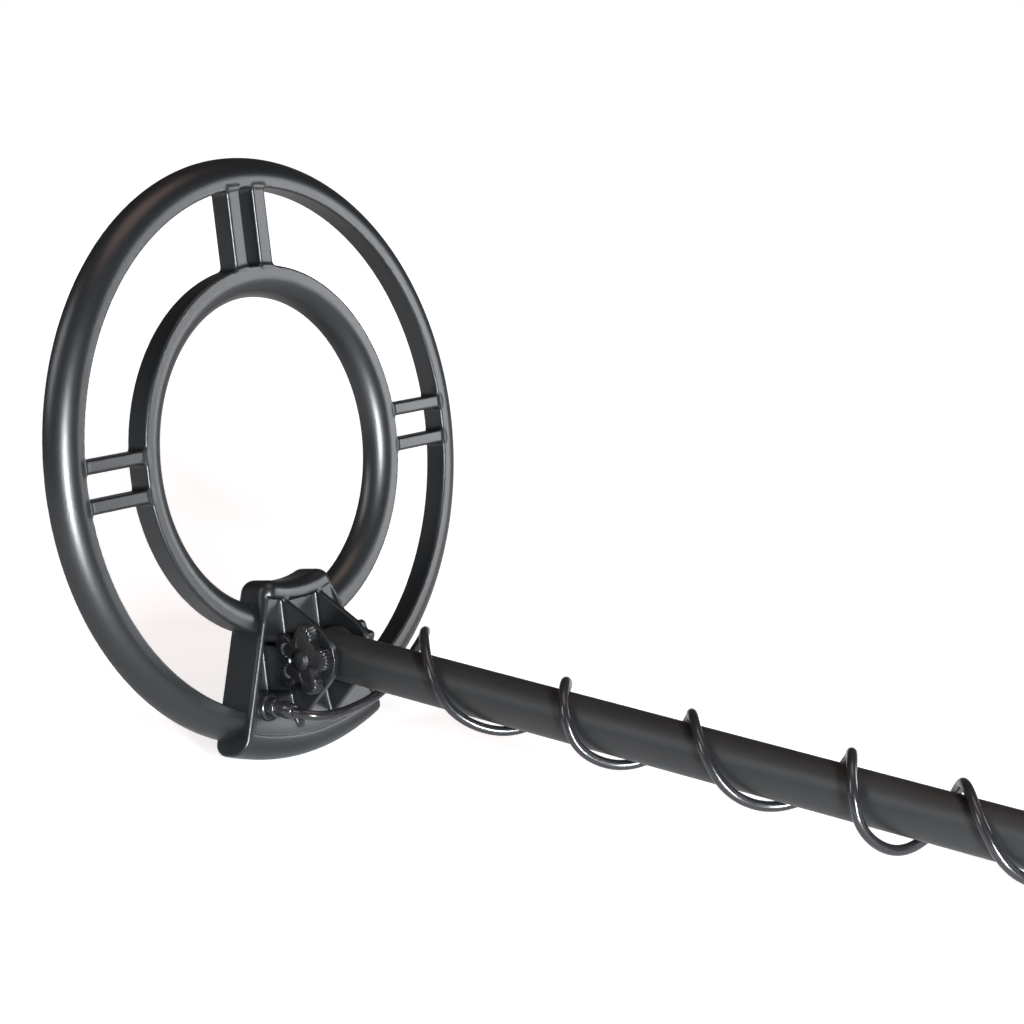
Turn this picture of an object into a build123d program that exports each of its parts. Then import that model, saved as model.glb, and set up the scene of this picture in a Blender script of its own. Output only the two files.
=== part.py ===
"""Metal detector with an open concentric search coil, a telescoping rod, an S-shaped handle tube,
a control housing and an arm rest.  Millimetres.  While it is built, the tilt pivot of the coil is
at the origin, +X runs along the rod from the coil to the handle, and +Z is up.  Every part then
moves together, so that the detector stands on Z = 0 with its centre at X = Y = 0."""
from build123d import *
import math
import os

os.makedirs("parts", exist_ok=True)

# Search coil, in its own frame: z is normal to the rings, y runs forward from the mount
OUTER_RING_IN = 105.0      # inner radius of the outer ring
OUTER_RING_OUT = 117.6
INNER_RING_IN = 62.0
INNER_RING_OUT = 74.3
RING_HEIGHT = 10.0
SEAM_DEPTH = 7.8           # depth of the seam between the shell and its base cover
SHOULDER_R = 9.2           # rounding of the ring's free upper edge
SPOKE_WIDTH = 5.3
SPOKE_PITCH = 15.0         # between the centres of the two bars of a spoke
TOP_SPOKE_WIDTH = 7.5
TOP_SPOKE_PITCH = 14.6
COIL_LEAN = 11.4           # degrees by which the coil leans back from upright
# Mount that bridges both rings
MOUNT_HALF_ANGLE = 20.4
MOUNT_TURN = -0.6           # the mount sits slightly to one side of the pivot
MOUNT_IN = 53.0
MOUNT_OUT = 123.4
MOUNT_BOTTOM = -14.0
MOUNT_FLOOR = 1.8
MOUNT_RIM = 3.2
POCKET_IN, POCKET_OUT, POCKET_BOTTOM = 76.5, 96.5, -11.5
PIVOT_Y, PIVOT_Z = -82.0, 12.3     # pivot in the coil's frame
EAR_IN, EAR_THICK, EAR_R = 9.0, 2.8, 13.8
GLAND_X, GLAND_Y = -27.0, -99.0
GLAND_HEIGHT, SLEEVE_LENGTH, SLEEVE_DROOP = 6.5, 7.0, 11.0
# Pivot hardware
BOLT_R, RUNNING_FIT = 4.0, 0.05
STAR_KNOB_HEIGHT = 5.2
KNOB_ROOM_R = 15.0         # of the hollow in the tray that lets the star knob turn
TONGUE_HALF = 7.7
# Rod and tubes
ROD_R, ROD_BORE_R, ROD_END = 9.5, 7.5, 470.0
MIDDLE_R, MIDDLE_BORE_R, MIDDLE_START, MIDDLE_END = 11.1, 9.58, 350.0, 640.0
UPPER_R, UPPER_BORE_R, UPPER_START = 12.7, 11.16, 570.0
BEND_START, BEND_R = 680.0, 60.0
GRIP_ANGLE, REAR_ANGLE = 55.0, 18.0
GRIP_LENGTH, REAR_LENGTH = 80.0, 300.0
AXIS_HEIGHT = 44.71         # of the rod's axis above the ground
# Cable
CABLE_R = 1.95
TURN_POINTS = 6            # route points in one turn round the rod
TURN_SHRINK = 0.87         # a rounded six-sided turn runs at this share of its points' radius
# Control housing, measured from the top of the handle tube's axis
HOUSING_BASE = 19.0
HOUSING_BACK, HOUSING_FRONT, HOUSING_HALF = 62.0, -64.0, 48.0
WALL = 2.4
# Arm rest, measured along the rear tube
CUFF_AT, CUFF_R, CUFF_LENGTH, CUFF_TRAVEL = 205.0, 46.0, 100.0, 20.0
CUFF_BOTTOM, CUFF_WALL, CUFF_SIDE = 17.0, 3.0, 22.0
BOLT_SHANK_R = 3.0         # of the bolt that holds the arm rest
FOOT_Y = 66.0              # half the distance between the stand's feet

SIN_LEAN, COS_LEAN = math.sin(math.radians(COIL_LEAN)), math.cos(math.radians(COIL_LEAN))
COIL_CENTRE = (SIN_LEAN * PIVOT_Y - COS_LEAN * PIVOT_Z, 0, -COS_LEAN * PIVOT_Y - SIN_LEAN * PIVOT_Z)
COIL_PLANE = Plane(origin=COIL_CENTRE, x_dir=(0, 1, 0), z_dir=(COS_LEAN, 0, SIN_LEAN))
nodes = {}


def rounded_ring(r_in, r_out, rounded_r, radius):
    """A ring as high as the coil, with its upper edge rounded at one of its two radii."""
    face = Pos((r_in + r_out) / 2, -RING_HEIGHT / 2) * Rectangle(r_out - r_in, RING_HEIGHT)
    corner = face.vertices().sort_by_distance((rounded_r, 0, 0))[0]
    return revolve(Plane.XZ * fillet(corner, radius), Axis.Z)


def ring(r_in, r_out, z_low, z_high):
    return Pos(0, 0, z_low) * (extrude(Circle(r_out) - Circle(r_in), z_high - z_low))


def sector(r_in, r_out, z_low, z_high, half_angle):
    """A part ring about the coil's centre, on its rear side."""
    face = Pos((r_in + r_out) / 2, (z_low + z_high) / 2) * Rectangle(r_out - r_in, z_high - z_low)
    face = Plane.XZ * face
    return Rot(0, 0, -90 - half_angle + MOUNT_TURN) * revolve(face, Axis.Z, 2 * half_angle)


def box_between(low, high):
    size = [b - a for a, b in zip(low, high)]
    return Pos(*[(a + b) / 2 for a, b in zip(low, high)]) * Box(*size)


def rod_along(axis, start, end, radius):
    """A round bar along X, Y or Z from one coordinate to another."""
    turn = {"X": Rot(0, 90, 0), "Y": Rot(-90, 0, 0), "Z": Rot(0, 0, 0)}[axis]
    place = {"X": Pos(start, 0, 0), "Y": Pos(0, start, 0), "Z": Pos(0, 0, start)}[axis]
    return place * turn * extrude(Circle(radius), end - start)


def in_coil(shape):
    return COIL_PLANE * shape


# ---------------------------------------------------------------- search coil
def spokes():
    inner, outer = INNER_RING_OUT - 0.6, OUTER_RING_IN + 0.6
    bars = Part()
    half = SPOKE_WIDTH / 2
    for low, high in ((-outer, -inner), (inner, outer)):
        for y in (-SPOKE_PITCH / 2, SPOKE_PITCH / 2):
            bars += box_between((low, y - half, -RING_HEIGHT + 0.6), (high, y + half, -0.3))
    for x in (-1.0 - TOP_SPOKE_PITCH / 2, -1.0 + TOP_SPOKE_PITCH / 2):
        bars += box_between((x - TOP_SPOKE_WIDTH / 2, inner, -RING_HEIGHT + 0.6),
                            (x + TOP_SPOKE_WIDTH / 2, outer, -0.3))
    return bars


def search_coil():
    whole = rounded_ring(OUTER_RING_IN, OUTER_RING_OUT, OUTER_RING_OUT, SHOULDER_R)
    whole += rounded_ring(INNER_RING_IN, INNER_RING_OUT, INNER_RING_IN, SHOULDER_R - 0.8)
    whole += spokes()
    upper_half = Pos(0, 0, 20 - SEAM_DEPTH) * Box(300, 300, 40)
    channels = ring(107.0, 113.2, -SEAM_DEPTH, -3.0) + ring(66.3, 72.4, -SEAM_DEPTH, -3.0)
    nodes["coil_shell"] = in_coil((whole & upper_half) - channels)
    nodes["coil_base_cover"] = in_coil(whole - upper_half)
    for name, radius in (("transmit_winding", 110.1), ("receive_winding", 69.35)):
        section = Plane.XZ * Pos(radius, -5.4) * Circle(2.2)
        nodes[name] = in_coil(revolve(section, Axis.Z, 360))
    return whole


def tangent_point(outside, centre, radius, side):
    """Where a line from a point outside a circle touches it."""
    dx, dy = outside[0] - centre[0], outside[1] - centre[1]
    angle = math.atan2(dy, dx) + side * math.acos(radius / math.hypot(dx, dy))
    return centre[0] + radius * math.cos(angle), centre[1] + radius * math.sin(angle)


def ear(x_low):
    pivot = (PIVOT_Y, PIVOT_Z)
    front, rear = (-57.0, MOUNT_FLOOR - 0.6), (-111.0, MOUNT_FLOOR - 0.6)
    front_touch = tangent_point(front, pivot, EAR_R, 1)
    rear_touch = tangent_point(rear, pivot, EAR_R, -1)
    outline = [Line(rear, front), Line(front, front_touch),
               ThreePointArc(front_touch, (PIVOT_Y, PIVOT_Z + EAR_R), rear_touch), Line(rear_touch, rear)]
    plate = extrude(Plane.YZ * make_face(outline), EAR_THICK)
    web = box_between((0, -95.8, POCKET_BOTTOM - 0.5), (EAR_THICK, -77.0, MOUNT_FLOOR))
    hole = Pos(-1, PIVOT_Y, PIVOT_Z) * Rot(0, 90, 0) * extrude(Circle(BOLT_R + RUNNING_FIT), EAR_THICK + 2)
    return Pos(x_low, 0, 0) * (plate + web - hole)


def coil_mount(coil):
    body = sector(MOUNT_IN, MOUNT_OUT, MOUNT_BOTTOM, MOUNT_RIM, MOUNT_HALF_ANGLE)
    for radius, rounding in ((MOUNT_OUT, 6.0), (MOUNT_IN, 5.0)):
        arcs = body.edges().filter_by(GeomType.CIRCLE)
        body = fillet([arc for arc in arcs if abs(arc.radius - radius) < 0.1], rounding)
    body -= sector(59.0, 114.0, MOUNT_FLOOR, MOUNT_RIM + 1, MOUNT_HALF_ANGLE - 1.6)
    body -= sector(POCKET_IN, POCKET_OUT, POCKET_BOTTOM, MOUNT_RIM + 1, MOUNT_HALF_ANGLE - 3.4)
    body += ear(EAR_IN) + ear(-EAR_IN - EAR_THICK)
    knob_room = Rot(0, -90, 0) * extrude(Circle(KNOB_ROOM_R), 7)
    body -= coil + Pos(-EAR_IN - EAR_THICK, PIVOT_Y, PIVOT_Z) * knob_room
    gland_hole = Pos(GLAND_X, GLAND_Y, -3) * extrude(Circle(CABLE_R), 6)
    nodes["coil_mount"] = in_coil(body - gland_hole)


SLEEVE_PLACE = Pos(GLAND_X, GLAND_Y, MOUNT_FLOOR + GLAND_HEIGHT) * Rot(SLEEVE_DROOP, 0, 0)


def cable_gland():
    """A flanged gland on the mount, and the rubber sleeve that the cable comes out of."""
    gland = extrude(Circle(5.0), 1.6) + Pos(0, 0, 1.6) * extrude(Circle(4.4), GLAND_HEIGHT - 1.6)
    gland = Pos(GLAND_X, GLAND_Y, MOUNT_FLOOR) * gland
    nodes["cable_gland"] = in_coil(gland)
    sleeve = Cone(3.0, 2.3, SLEEVE_LENGTH + 1, align=(Align.CENTER, Align.CENTER, Align.MIN))
    nodes["cable_sleeve"] = in_coil(SLEEVE_PLACE * Pos(0, 0, -1) * sleeve - gland)


def lobed(radius, lobe_r, lobes, height):
    """A star knob: a disc with round lobes about its rim."""
    face = Circle(radius)
    for angle in range(lobes):
        face += Rot(0, 0, 360 / lobes * angle) * Pos(radius, 0) * Circle(lobe_r)
    return extrude(face, height)


def pivot_hardware():
    """The bolt through the ears and the rod's tongue, its star knob and two rubber washers."""
    ear_out = EAR_IN + EAR_THICK
    head = Pos(0, ear_out, 0) * Rot(-90, 0, 0) * lobed(9.0, 2.4, 10, 7.0)
    bolt = rod_along("Y", -ear_out - STAR_KNOB_HEIGHT - 0.7, ear_out + 0.5, BOLT_R)
    nodes["pivot_bolt"] = head + bolt
    knob = lobed(10.0, 4.5, 5, STAR_KNOB_HEIGHT) - extrude(Circle(BOLT_R + RUNNING_FIT), 9)
    nodes["pivot_knob"] = Pos(0, -ear_out - 0.1, 0) * Rot(90, 0, 0) * Rot(0, 0, 12) * knob
    washer = extrude(Circle(8.2) - Circle(BOLT_R + RUNNING_FIT), EAR_IN - TONGUE_HALF - RUNNING_FIT)
    pair = [Pos(0, EAR_IN, 0) * Rot(90, 0, 0) * washer, Pos(0, -EAR_IN, 0) * Rot(-90, 0, 0) * washer]
    nodes["pivot_washers"] = Compound(children=pair)


# ---------------------------------------------------------------- rod and tubes
def lower_rod():
    """The rod, solid and flattened into a tongue at the coil."""
    rod = rod_along("X", 0, ROD_END, ROD_R) + rod_along("Y", -ROD_R, ROD_R, ROD_R)
    rod -= rod_along("X", 34.0, ROD_END + 1, ROD_BORE_R)
    for side in (-1, 1):
        flat = Polyline((-12, side * TONGUE_HALF), (12, side * TONGUE_HALF), (30, side * ROD_R),
                        (30, side * 20), (-12, side * 20), close=True)
        rod -= Pos(0, 0, -15) * extrude(make_face(flat), 30)
    rod -= rod_along("Y", -20, 20, BOLT_R + RUNNING_FIT)
    nodes["lower_rod"] = rod
    nodes["rod_end_plug"] = rod_along("X", ROD_END - 8, ROD_END, ROD_BORE_R)


def collet(start, inner_r, outer_r):
    """A split ring that the lock collar squeezes on to the inner tube."""
    cone = Cone(outer_r - 1.2, outer_r, 12, align=(Align.CENTER, Align.CENTER, Align.MIN))
    body = Pos(start, 0, 0) * Rot(0, 90, 0) * cone
    body -= rod_along("X", start - 1, start + 13, inner_r)
    return body - box_between((start - 1, -0.8, 0), (start + 10, 0.8, 30))


def lock_collar(start, rod_r, tube_r):
    """A twist collar: a thin front lip, a room for the collet, and a ribbed skirt on the tube."""
    skirt_r = tube_r + 5.4
    body = rod_along("X", start - 15, start + 27, skirt_r)
    groove = Pos(0, 0, skirt_r + 0.5) * rod_along("X", start - 11, start + 22, 1.1)
    for turn in range(0, 360, 15):
        body -= Rot(turn, 0, 0) * groove
    body -= rod_along("X", start - 16, start - 12.2, rod_r + 0.3)
    body -= rod_along("X", start - 12.2, start + 0.2, tube_r + 2.1)
    return body - rod_along("X", start + 0.2, start + 28, tube_r + 0.06)


def handle_path():
    """The bent axis of the handle tube, as its runs and bends in order."""
    front = Line((UPPER_START, 0), (BEND_START, 0))
    low = JernArc(front @ 1, front % 1, BEND_R, GRIP_ANGLE)
    rise = Line(low @ 1, (low @ 1) + (low % 1) * GRIP_LENGTH)
    high = JernArc(rise @ 1, rise % 1, BEND_R, -GRIP_ANGLE - REAR_ANGLE)
    rear = Line(high @ 1, (high @ 1) + (high % 1) * REAR_LENGTH)
    return [front, low, rise, high, rear]


def swept_tube(edges, radius):
    path = Plane.XZ * Wire(edges)
    start = Plane(origin=path @ 0, z_dir=path % 0)
    return sweep(start * Circle(radius), path=path)


def tubes():
    nodes["middle_tube"] = rod_along("X", MIDDLE_START, MIDDLE_END, MIDDLE_R) - \
        rod_along("X", MIDDLE_START - 1, MIDDLE_END + 1, MIDDLE_BORE_R) - button_hole()
    edges = handle_path()
    cuff_slot = CUFF_PLANE * Box(2 * (CUFF_TRAVEL + 3.2), 6.4, 60)
    upper = swept_tube(edges, UPPER_R) - swept_tube(edges, UPPER_BORE_R)
    nodes["upper_tube"] = upper - button_hole() - cuff_slot
    nodes["rod_collet"] = collet(MIDDLE_START - 12, ROD_R + 0.08, MIDDLE_R + 2)
    nodes["tube_collet"] = collet(UPPER_START - 12, MIDDLE_R + 0.06, UPPER_R + 2)
    nodes["rod_lock_collar"] = lock_collar(MIDDLE_START, ROD_R, MIDDLE_R)
    nodes["tube_lock_collar"] = lock_collar(UPPER_START, MIDDLE_R, UPPER_R)
    end = Plane.XZ * edges[-1]
    cap_plane = Plane(origin=end @ 1, z_dir=end % 1)
    cap = Pos(0, 0, -12) * extrude(Circle(UPPER_BORE_R), 12) + extrude(Circle(13.6), 4)
    nodes["tube_end_cap"] = cap_plane * cap


BUTTON_X, BUTTON_R, BUTTON_TRAVEL = 618.0, 3.5, 4.0


def button_hole():
    return Pos(BUTTON_X, 0, 0) * rod_along("Z", 5, 20, BUTTON_R + 0.1)


def snap_button():
    """The push button that locks the middle tube into the handle tube, and its leaf spring."""
    stem = rod_along("Z", 3.6, 14.2, BUTTON_R)
    nodes["snap_button"] = Pos(BUTTON_X, 0, 0) * fillet(stem.edges().group_by(Axis.Z)[-1], 1.2)
    bend = ThreePointArc((24, 3.0), (31, 0.0), (24, -6.0))
    leaf = [Line((-4, 3.0), (24, 3.0)), bend, Line((24, -6.0), (4, -6.0))]
    strip = Plane.XZ * trace(Wire(leaf), 0.7)
    nodes["button_spring"] = Pos(BUTTON_X - 8, -3, 0.2) * Pos(0, 6, 0) * extrude(strip, 6)


def foam_grip():
    """The foam sleeve on the rising stretch of the handle, with half of each bend."""
    _, low, rise, high, _ = handle_path()
    first = JernArc(low @ 0.55, low % 0.55, BEND_R, GRIP_ANGLE * 0.45)
    last = JernArc(high @ 0, high % 0, BEND_R, -(GRIP_ANGLE + REAR_ANGLE) * 0.3)
    edges = [first, rise, last]
    nodes["foam_grip"] = swept_tube(edges, 18.5) - swept_tube(edges, UPPER_R + 0.02)


# ---------------------------------------------------------------- control housing
SIN_GRIP, COS_GRIP = math.sin(math.radians(GRIP_ANGLE)), math.cos(math.radians(GRIP_ANGLE))
APEX_X = BEND_START + 2 * BEND_R * SIN_GRIP + GRIP_LENGTH * COS_GRIP
APEX_Z = 2 * BEND_R * (1 - COS_GRIP) + GRIP_LENGTH * SIN_GRIP
SEAM_Z = HOUSING_BASE + 28
PANEL_LOW_Z, PANEL_HIGH_Z, PANEL_HIGH_X = HOUSING_BASE + 36, HOUSING_BASE + 66, -46.0
PANEL = Plane(origin=(HOUSING_BACK, 0, PANEL_LOW_Z),
              x_dir=(PANEL_HIGH_X - HOUSING_BACK, 0, PANEL_HIGH_Z - PANEL_LOW_Z),
              z_dir=(PANEL_HIGH_Z - PANEL_LOW_Z, 0, HOUSING_BACK - PANEL_HIGH_X))
KEY_AT, KEY_SIDES, KEY_R, KEY_TRAVEL = 46.0, (-27.0, -9.0, 9.0, 27.0), 5.5, 1.5
KNOB_AT, KNOB_SIDE, KNOB_R = 20.0, 28.0, 10.5
PINPOINT_R = 8.0
WINDOW = (83.0, 42.0, 64.0)     # distance up the panel, length and width
SOCKET_Y, SOCKET_Z = 32.0, HOUSING_BASE + 14
DOOR_LOW, DOOR_HIGH = (-44.0, HOUSING_BASE + 5.5), (15.0, HOUSING_BASE + 24.0)
JACK_Y, JACK_Z, JACK_BORE_R = 30.0, HOUSING_BASE + 14, 3.2


def in_housing(shape):
    return Pos(APEX_X, 0, APEX_Z) * shape


def on_panel(shape):
    return in_housing(PANEL * shape)


def housing_outline(inset):
    """The side view of the housing, with every wall moved inwards."""
    front, back, base = HOUSING_FRONT + inset, HOUSING_BACK - inset, HOUSING_BASE + inset
    slope = inset * 1.04
    return Polyline((front, base), (back, base), (back, PANEL_LOW_Z - slope + inset * 0.28),
                    (PANEL_HIGH_X, PANEL_HIGH_Z - slope), (front, PANEL_HIGH_Z - 6 - inset * 0.7), close=True)


def housing_solid(inset):
    half = HOUSING_HALF - inset
    body = Pos(0, half, 0) * extrude(Plane.XZ * make_face(housing_outline(inset)), 2 * half)
    upright = body.edges().filter_by(Axis.Z)
    return fillet(upright, 9 - inset)


def housing_shells():
    shell = housing_solid(0) - housing_solid(WALL)
    lower_half = box_between((-80, -60, 0), (80, 60, SEAM_Z))
    lower = shell & lower_half
    upper = shell - lower_half
    lower -= box_between((HOUSING_FRONT - 1, DOOR_LOW[0] - 0.3, DOOR_LOW[1] - 0.5),
                         (HOUSING_FRONT + 4, DOOR_HIGH[0] + 0.3, DOOR_HIGH[1] + 1.2))
    lower -= Pos(0, SOCKET_Y, SOCKET_Z) * rod_along("X", HOUSING_FRONT - 1, HOUSING_FRONT + 4, 8.0)
    lower -= Pos(0, JACK_Y, JACK_Z) * rod_along("X", HOUSING_BACK - 4, HOUSING_BACK + 1, 4.5)
    lower += box_between((-10, -46, HOUSING_BASE + 1), (-8, 16, HOUSING_BASE + 24))
    for y in (DOOR_LOW[0] - 2.2, DOOR_HIGH[0] + 0.4):
        lug = box_between((HOUSING_FRONT - 3.6, y, HOUSING_BASE + 2.6),
                          (HOUSING_FRONT + 5, y + 1.8, HOUSING_BASE + 6.4))
        lower += lug - Pos(HOUSING_FRONT - 1.8, 0, HOUSING_BASE + 4.5) * rod_along("Y", -60, 60, 0.85)
    screws = []
    for x in (0, 52):
        for y in (-40, 40):
            lower += Pos(x, y, 0) * rod_along("Z", HOUSING_BASE + 1, SEAM_Z, 4.0)
            screw = Pos(x, y, 0) * (rod_along("Z", HOUSING_BASE + 0.2, HOUSING_BASE + 2, 3.0)
                                    + rod_along("Z", HOUSING_BASE + 1, SEAM_Z - 2, 1.5))
            lower -= screw + Pos(x, y, 0) * rod_along("Z", HOUSING_BASE - 1, HOUSING_BASE + 1, 3.0)
            screws.append(in_housing(screw))
    nodes["housing_screws"] = Compound(children=screws)
    cutters = PANEL * (Pos(WINDOW[0], 0, 0) * Box(WINDOW[1], WINDOW[2], 12))
    for side in KEY_SIDES:
        cutters += PANEL * (Pos(KEY_AT, side, 0) * Cylinder(KEY_R + 0.2, 12))
    for side in (-KNOB_SIDE, KNOB_SIDE):
        cutters += PANEL * (Pos(KNOB_AT, side, 0) * Cylinder(3.4, 12))
    cutters += PANEL * (Pos(KNOB_AT, 0, 0) * Cylinder(PINPOINT_R + 0.2, 12))
    for y in range(-10, 11, 4):
        cutters += box_between((HOUSING_FRONT - 1, y - 0.9, HOUSING_BASE + 34),
                               (HOUSING_FRONT + 4, y + 0.9, HOUSING_BASE + 54))
    nodes["housing_lower_shell"] = in_housing(lower)
    nodes["housing_upper_shell"] = in_housing(upper - cutters)


def housing_mounting():
    """The saddle on top of the bent tube, and the clamp under it, held by four screws."""
    turn = 16.0 / BEND_R
    arc = JernArc((APEX_X - BEND_R * math.sin(turn), APEX_Z - BEND_R * (1 - math.cos(turn))),
                  (math.cos(turn), math.sin(turn)), BEND_R, -2 * math.degrees(turn))
    sleeve = swept_tube([arc], UPPER_R + 3.2)
    tube = swept_tube(handle_path(), UPPER_R + 0.02)
    upper_space = in_housing(box_between((-40, -40, 0.5), (40, 40, 40)))
    wings = in_housing(box_between((-15, -26, -3.2), (15, 26, 4.2)))
    saddle = in_housing(box_between((-30, -24, 13.2), (30, 24, HOUSING_BASE))
                        + box_between((-14, -13, 4), (14, 13, 14)))
    holes = Part()
    screws = []
    for x in (-10, 10):
        for y in (-21, 21):
            holes += in_housing(Pos(x, y, 0) * rod_along("Z", -6, 8, 1.7))
            shank = rod_along("Z", -5.6, 4.2, 1.65) + rod_along("Z", -6.2, -3.25, 3.2)
            screws.append(in_housing(Pos(x, y, 0) * shank))
    nodes["housing_saddle"] = ((sleeve + wings) & upper_space) + saddle - tube - holes
    clamp = (sleeve + wings) - in_housing(box_between((-40, -40, 0), (40, 40, 40)))
    nodes["housing_clamp"] = clamp - tube - holes
    nodes["clamp_screws"] = Compound(children=screws)


def panel_parts():
    """The window, display, keys, knobs, board and speaker under the sloping panel."""
    length, width = WINDOW[1], WINDOW[2]
    nodes["display_window"] = on_panel(Pos(WINDOW[0], 0, -0.7) * Box(length - 0.1, width - 0.1, 2.2))
    nodes["display_panel"] = on_panel(Pos(WINDOW[0], 0, -5.0) * Box(length - 4, width - 4, 3.0))
    for number, side in enumerate(KEY_SIDES, 1):
        key = extrude(Circle(KEY_R), 6.4) + extrude(Circle(KEY_R + 1.2), 0.9)
        nodes[f"panel_key_{number}"] = on_panel(Pos(KEY_AT, side, -4.2) * key)
    pinpoint = extrude(Circle(PINPOINT_R), 6.6) + extrude(Circle(PINPOINT_R + 1.2), 0.9)
    nodes["pinpoint_key"] = on_panel(Pos(KNOB_AT, 0, -4.2) * pinpoint)
    pots = []
    for name, side in (("sensitivity_knob", -KNOB_SIDE), ("discrimination_knob", KNOB_SIDE)):
        pot = Pos(0, 0, -12.4) * extrude(Rectangle(16, 16), 8) + Pos(0, 0, -5) * extrude(Circle(3.0), 13)
        pots.append(on_panel(Pos(KNOB_AT, side, 0) * pot))
        knob = extrude(Circle(KNOB_R), 11.5)
        for groove in range(18):
            knob -= Rot(0, 0, groove * 20) * Pos(KNOB_R + 0.35, 0, 2) * extrude(Circle(0.9), 11)
        knob -= Pos(0, 0, -0.1) * extrude(Circle(3.0 + RUNNING_FIT), 7.6)
        nodes[name] = on_panel(Pos(KNOB_AT, side, 0.6) * knob)
    nodes["control_pots"] = Compound(children=pots)
    board = Pos(56, 0, -13.6) * Box(98, 70, 1.6)
    chips = ((70, 18, 14, 14, 2.0), (88, -20, 10, 18, 3.5), (60, -12, 8, 6, 3.0), (96, 24, 8, 8, 5.0))
    for p, q, a, b, h in chips:
        board += Pos(p, q, -12.8 + h / 2) * Box(a, b, h)
    for p, q in [(KEY_AT, side) for side in KEY_SIDES] + [(KNOB_AT, 0)]:
        board += Pos(p, q, -12.8) * extrude(Rectangle(6, 6), 6.6)
    nodes["circuit_board"] = on_panel(board)
    cone = rod_along("X", HOUSING_FRONT + WALL + 0.1, HOUSING_FRONT + WALL + 4, 13.0)
    magnet = rod_along("X", HOUSING_FRONT + WALL + 4, HOUSING_FRONT + WALL + 8, 7.0)
    nodes["speaker"] = in_housing(Pos(0, 0, HOUSING_BASE + 44) * (cone + magnet))


def battery_bay():
    """Two block batteries and the hinged door in front of them."""
    cells = []
    for y in (-42.0, -13.5):
        cell = box_between((-60, y, HOUSING_BASE + 5), (-11.5, y + 26.5, HOUSING_BASE + 22.5))
        cells.append(in_housing(cell))
    nodes["batteries"] = Compound(children=cells)
    door = box_between((HOUSING_FRONT, DOOR_LOW[0], DOOR_LOW[1]),
                       (HOUSING_FRONT + 2.2, DOOR_HIGH[0], DOOR_HIGH[1]))
    hinge = Pos(HOUSING_FRONT - 1.8, 0, HOUSING_BASE + 4.5)
    barrel = hinge * rod_along("Y", DOOR_LOW[0], DOOR_HIGH[0], 1.5)
    link = box_between((HOUSING_FRONT - 1.8, DOOR_LOW[0], DOOR_LOW[1]),
                       (HOUSING_FRONT + 0.5, DOOR_HIGH[0], DOOR_LOW[1] + 1.6))
    grip_rib = box_between((HOUSING_FRONT - 1.4, -25, DOOR_HIGH[1] - 5),
                           (HOUSING_FRONT, -4, DOOR_HIGH[1] - 2))
    pin_hole = hinge * rod_along("Y", -60, 60, 0.85)
    nodes["battery_door"] = in_housing(door + barrel + link + grip_rib - pin_hole)
    nodes["door_pin"] = in_housing(hinge * rod_along("Y", DOOR_LOW[0] - 2.2, DOOR_HIGH[0] + 2.2, 0.8))


def sockets():
    """The headphone jack, the coil socket, and the plug with its lock ring."""
    jack = rod_along("X", HOUSING_BACK - 16, HOUSING_BACK + 0.5, 4.45)
    jack += rod_along("X", HOUSING_BACK, HOUSING_BACK + 2, 6.0)
    jack -= rod_along("X", HOUSING_BACK - 14, HOUSING_BACK + 3, JACK_BORE_R)
    nodes["headphone_jack"] = in_housing(Pos(0, JACK_Y, JACK_Z) * jack)
    socket = rod_along("X", HOUSING_FRONT - 9, HOUSING_FRONT + 8, 7.9)
    socket -= rod_along("X", HOUSING_FRONT - 10, HOUSING_FRONT, 6.6)
    pin = Pos(0, 0, 3.6) * rod_along("X", HOUSING_FRONT - 6, HOUSING_FRONT + 1, 0.6)
    for angle in range(0, 360, 72):
        socket += Rot(angle, 0, 0) * pin
    place = Pos(0, SOCKET_Y, SOCKET_Z)
    nodes["coil_socket"] = in_housing(place * socket)
    plug = rod_along("X", HOUSING_FRONT - 34, HOUSING_FRONT - 7, 6.5)
    tail = Cone(2.6, 4.6, 12, align=(Align.CENTER, Align.CENTER, Align.MIN))
    plug += Pos(HOUSING_FRONT - 46, 0, 0) * Rot(0, 90, 0) * tail
    nodes["coil_plug"] = in_housing(place * plug)
    ring_body = rod_along("X", HOUSING_FRONT - 24, HOUSING_FRONT - 2, 10.4)
    for groove in range(16):
        cut = Pos(0, 0, 10.7) * rod_along("X", HOUSING_FRONT - 22, HOUSING_FRONT - 4, 0.9)
        ring_body -= Rot(groove * 22.5, 0, 0) * cut
    ring_body -= rod_along("X", HOUSING_FRONT - 25, HOUSING_FRONT - 1, 6.56)
    ring_body -= rod_along("X", HOUSING_FRONT - 9.4, HOUSING_FRONT - 1, 7.96)
    nodes["plug_lock_ring"] = in_housing(place * ring_body)


# ---------------------------------------------------------------- arm rest
REAR_X = APEX_X + BEND_R * math.sin(math.radians(REAR_ANGLE))
REAR_Z = APEX_Z - BEND_R * (1 - math.cos(math.radians(REAR_ANGLE)))
SIN_REAR, COS_REAR = math.sin(math.radians(REAR_ANGLE)), math.cos(math.radians(REAR_ANGLE))
CUFF_PLANE = Plane(origin=(REAR_X + CUFF_AT * COS_REAR, 0, REAR_Z - CUFF_AT * SIN_REAR),
                   x_dir=(COS_REAR, 0, -SIN_REAR), z_dir=(SIN_REAR, 0, COS_REAR))


def trough(inner_r, outer_r, length, side_height):
    """A U-shaped shell along X, whose round bottom is at the height of the cuff's saddle."""
    centre = CUFF_BOTTOM + CUFF_WALL + CUFF_R
    section = (Circle(outer_r) - Circle(inner_r)) & (Pos(0, -60) * Rectangle(200, 120))
    wall = Rectangle(outer_r - inner_r, side_height)
    for side in (-1, 1):
        section += Pos(side * (inner_r + outer_r) / 2, side_height / 2) * wall
    return Pos(-length / 2, 0, centre) * extrude(Plane.YZ * section, length)


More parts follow.
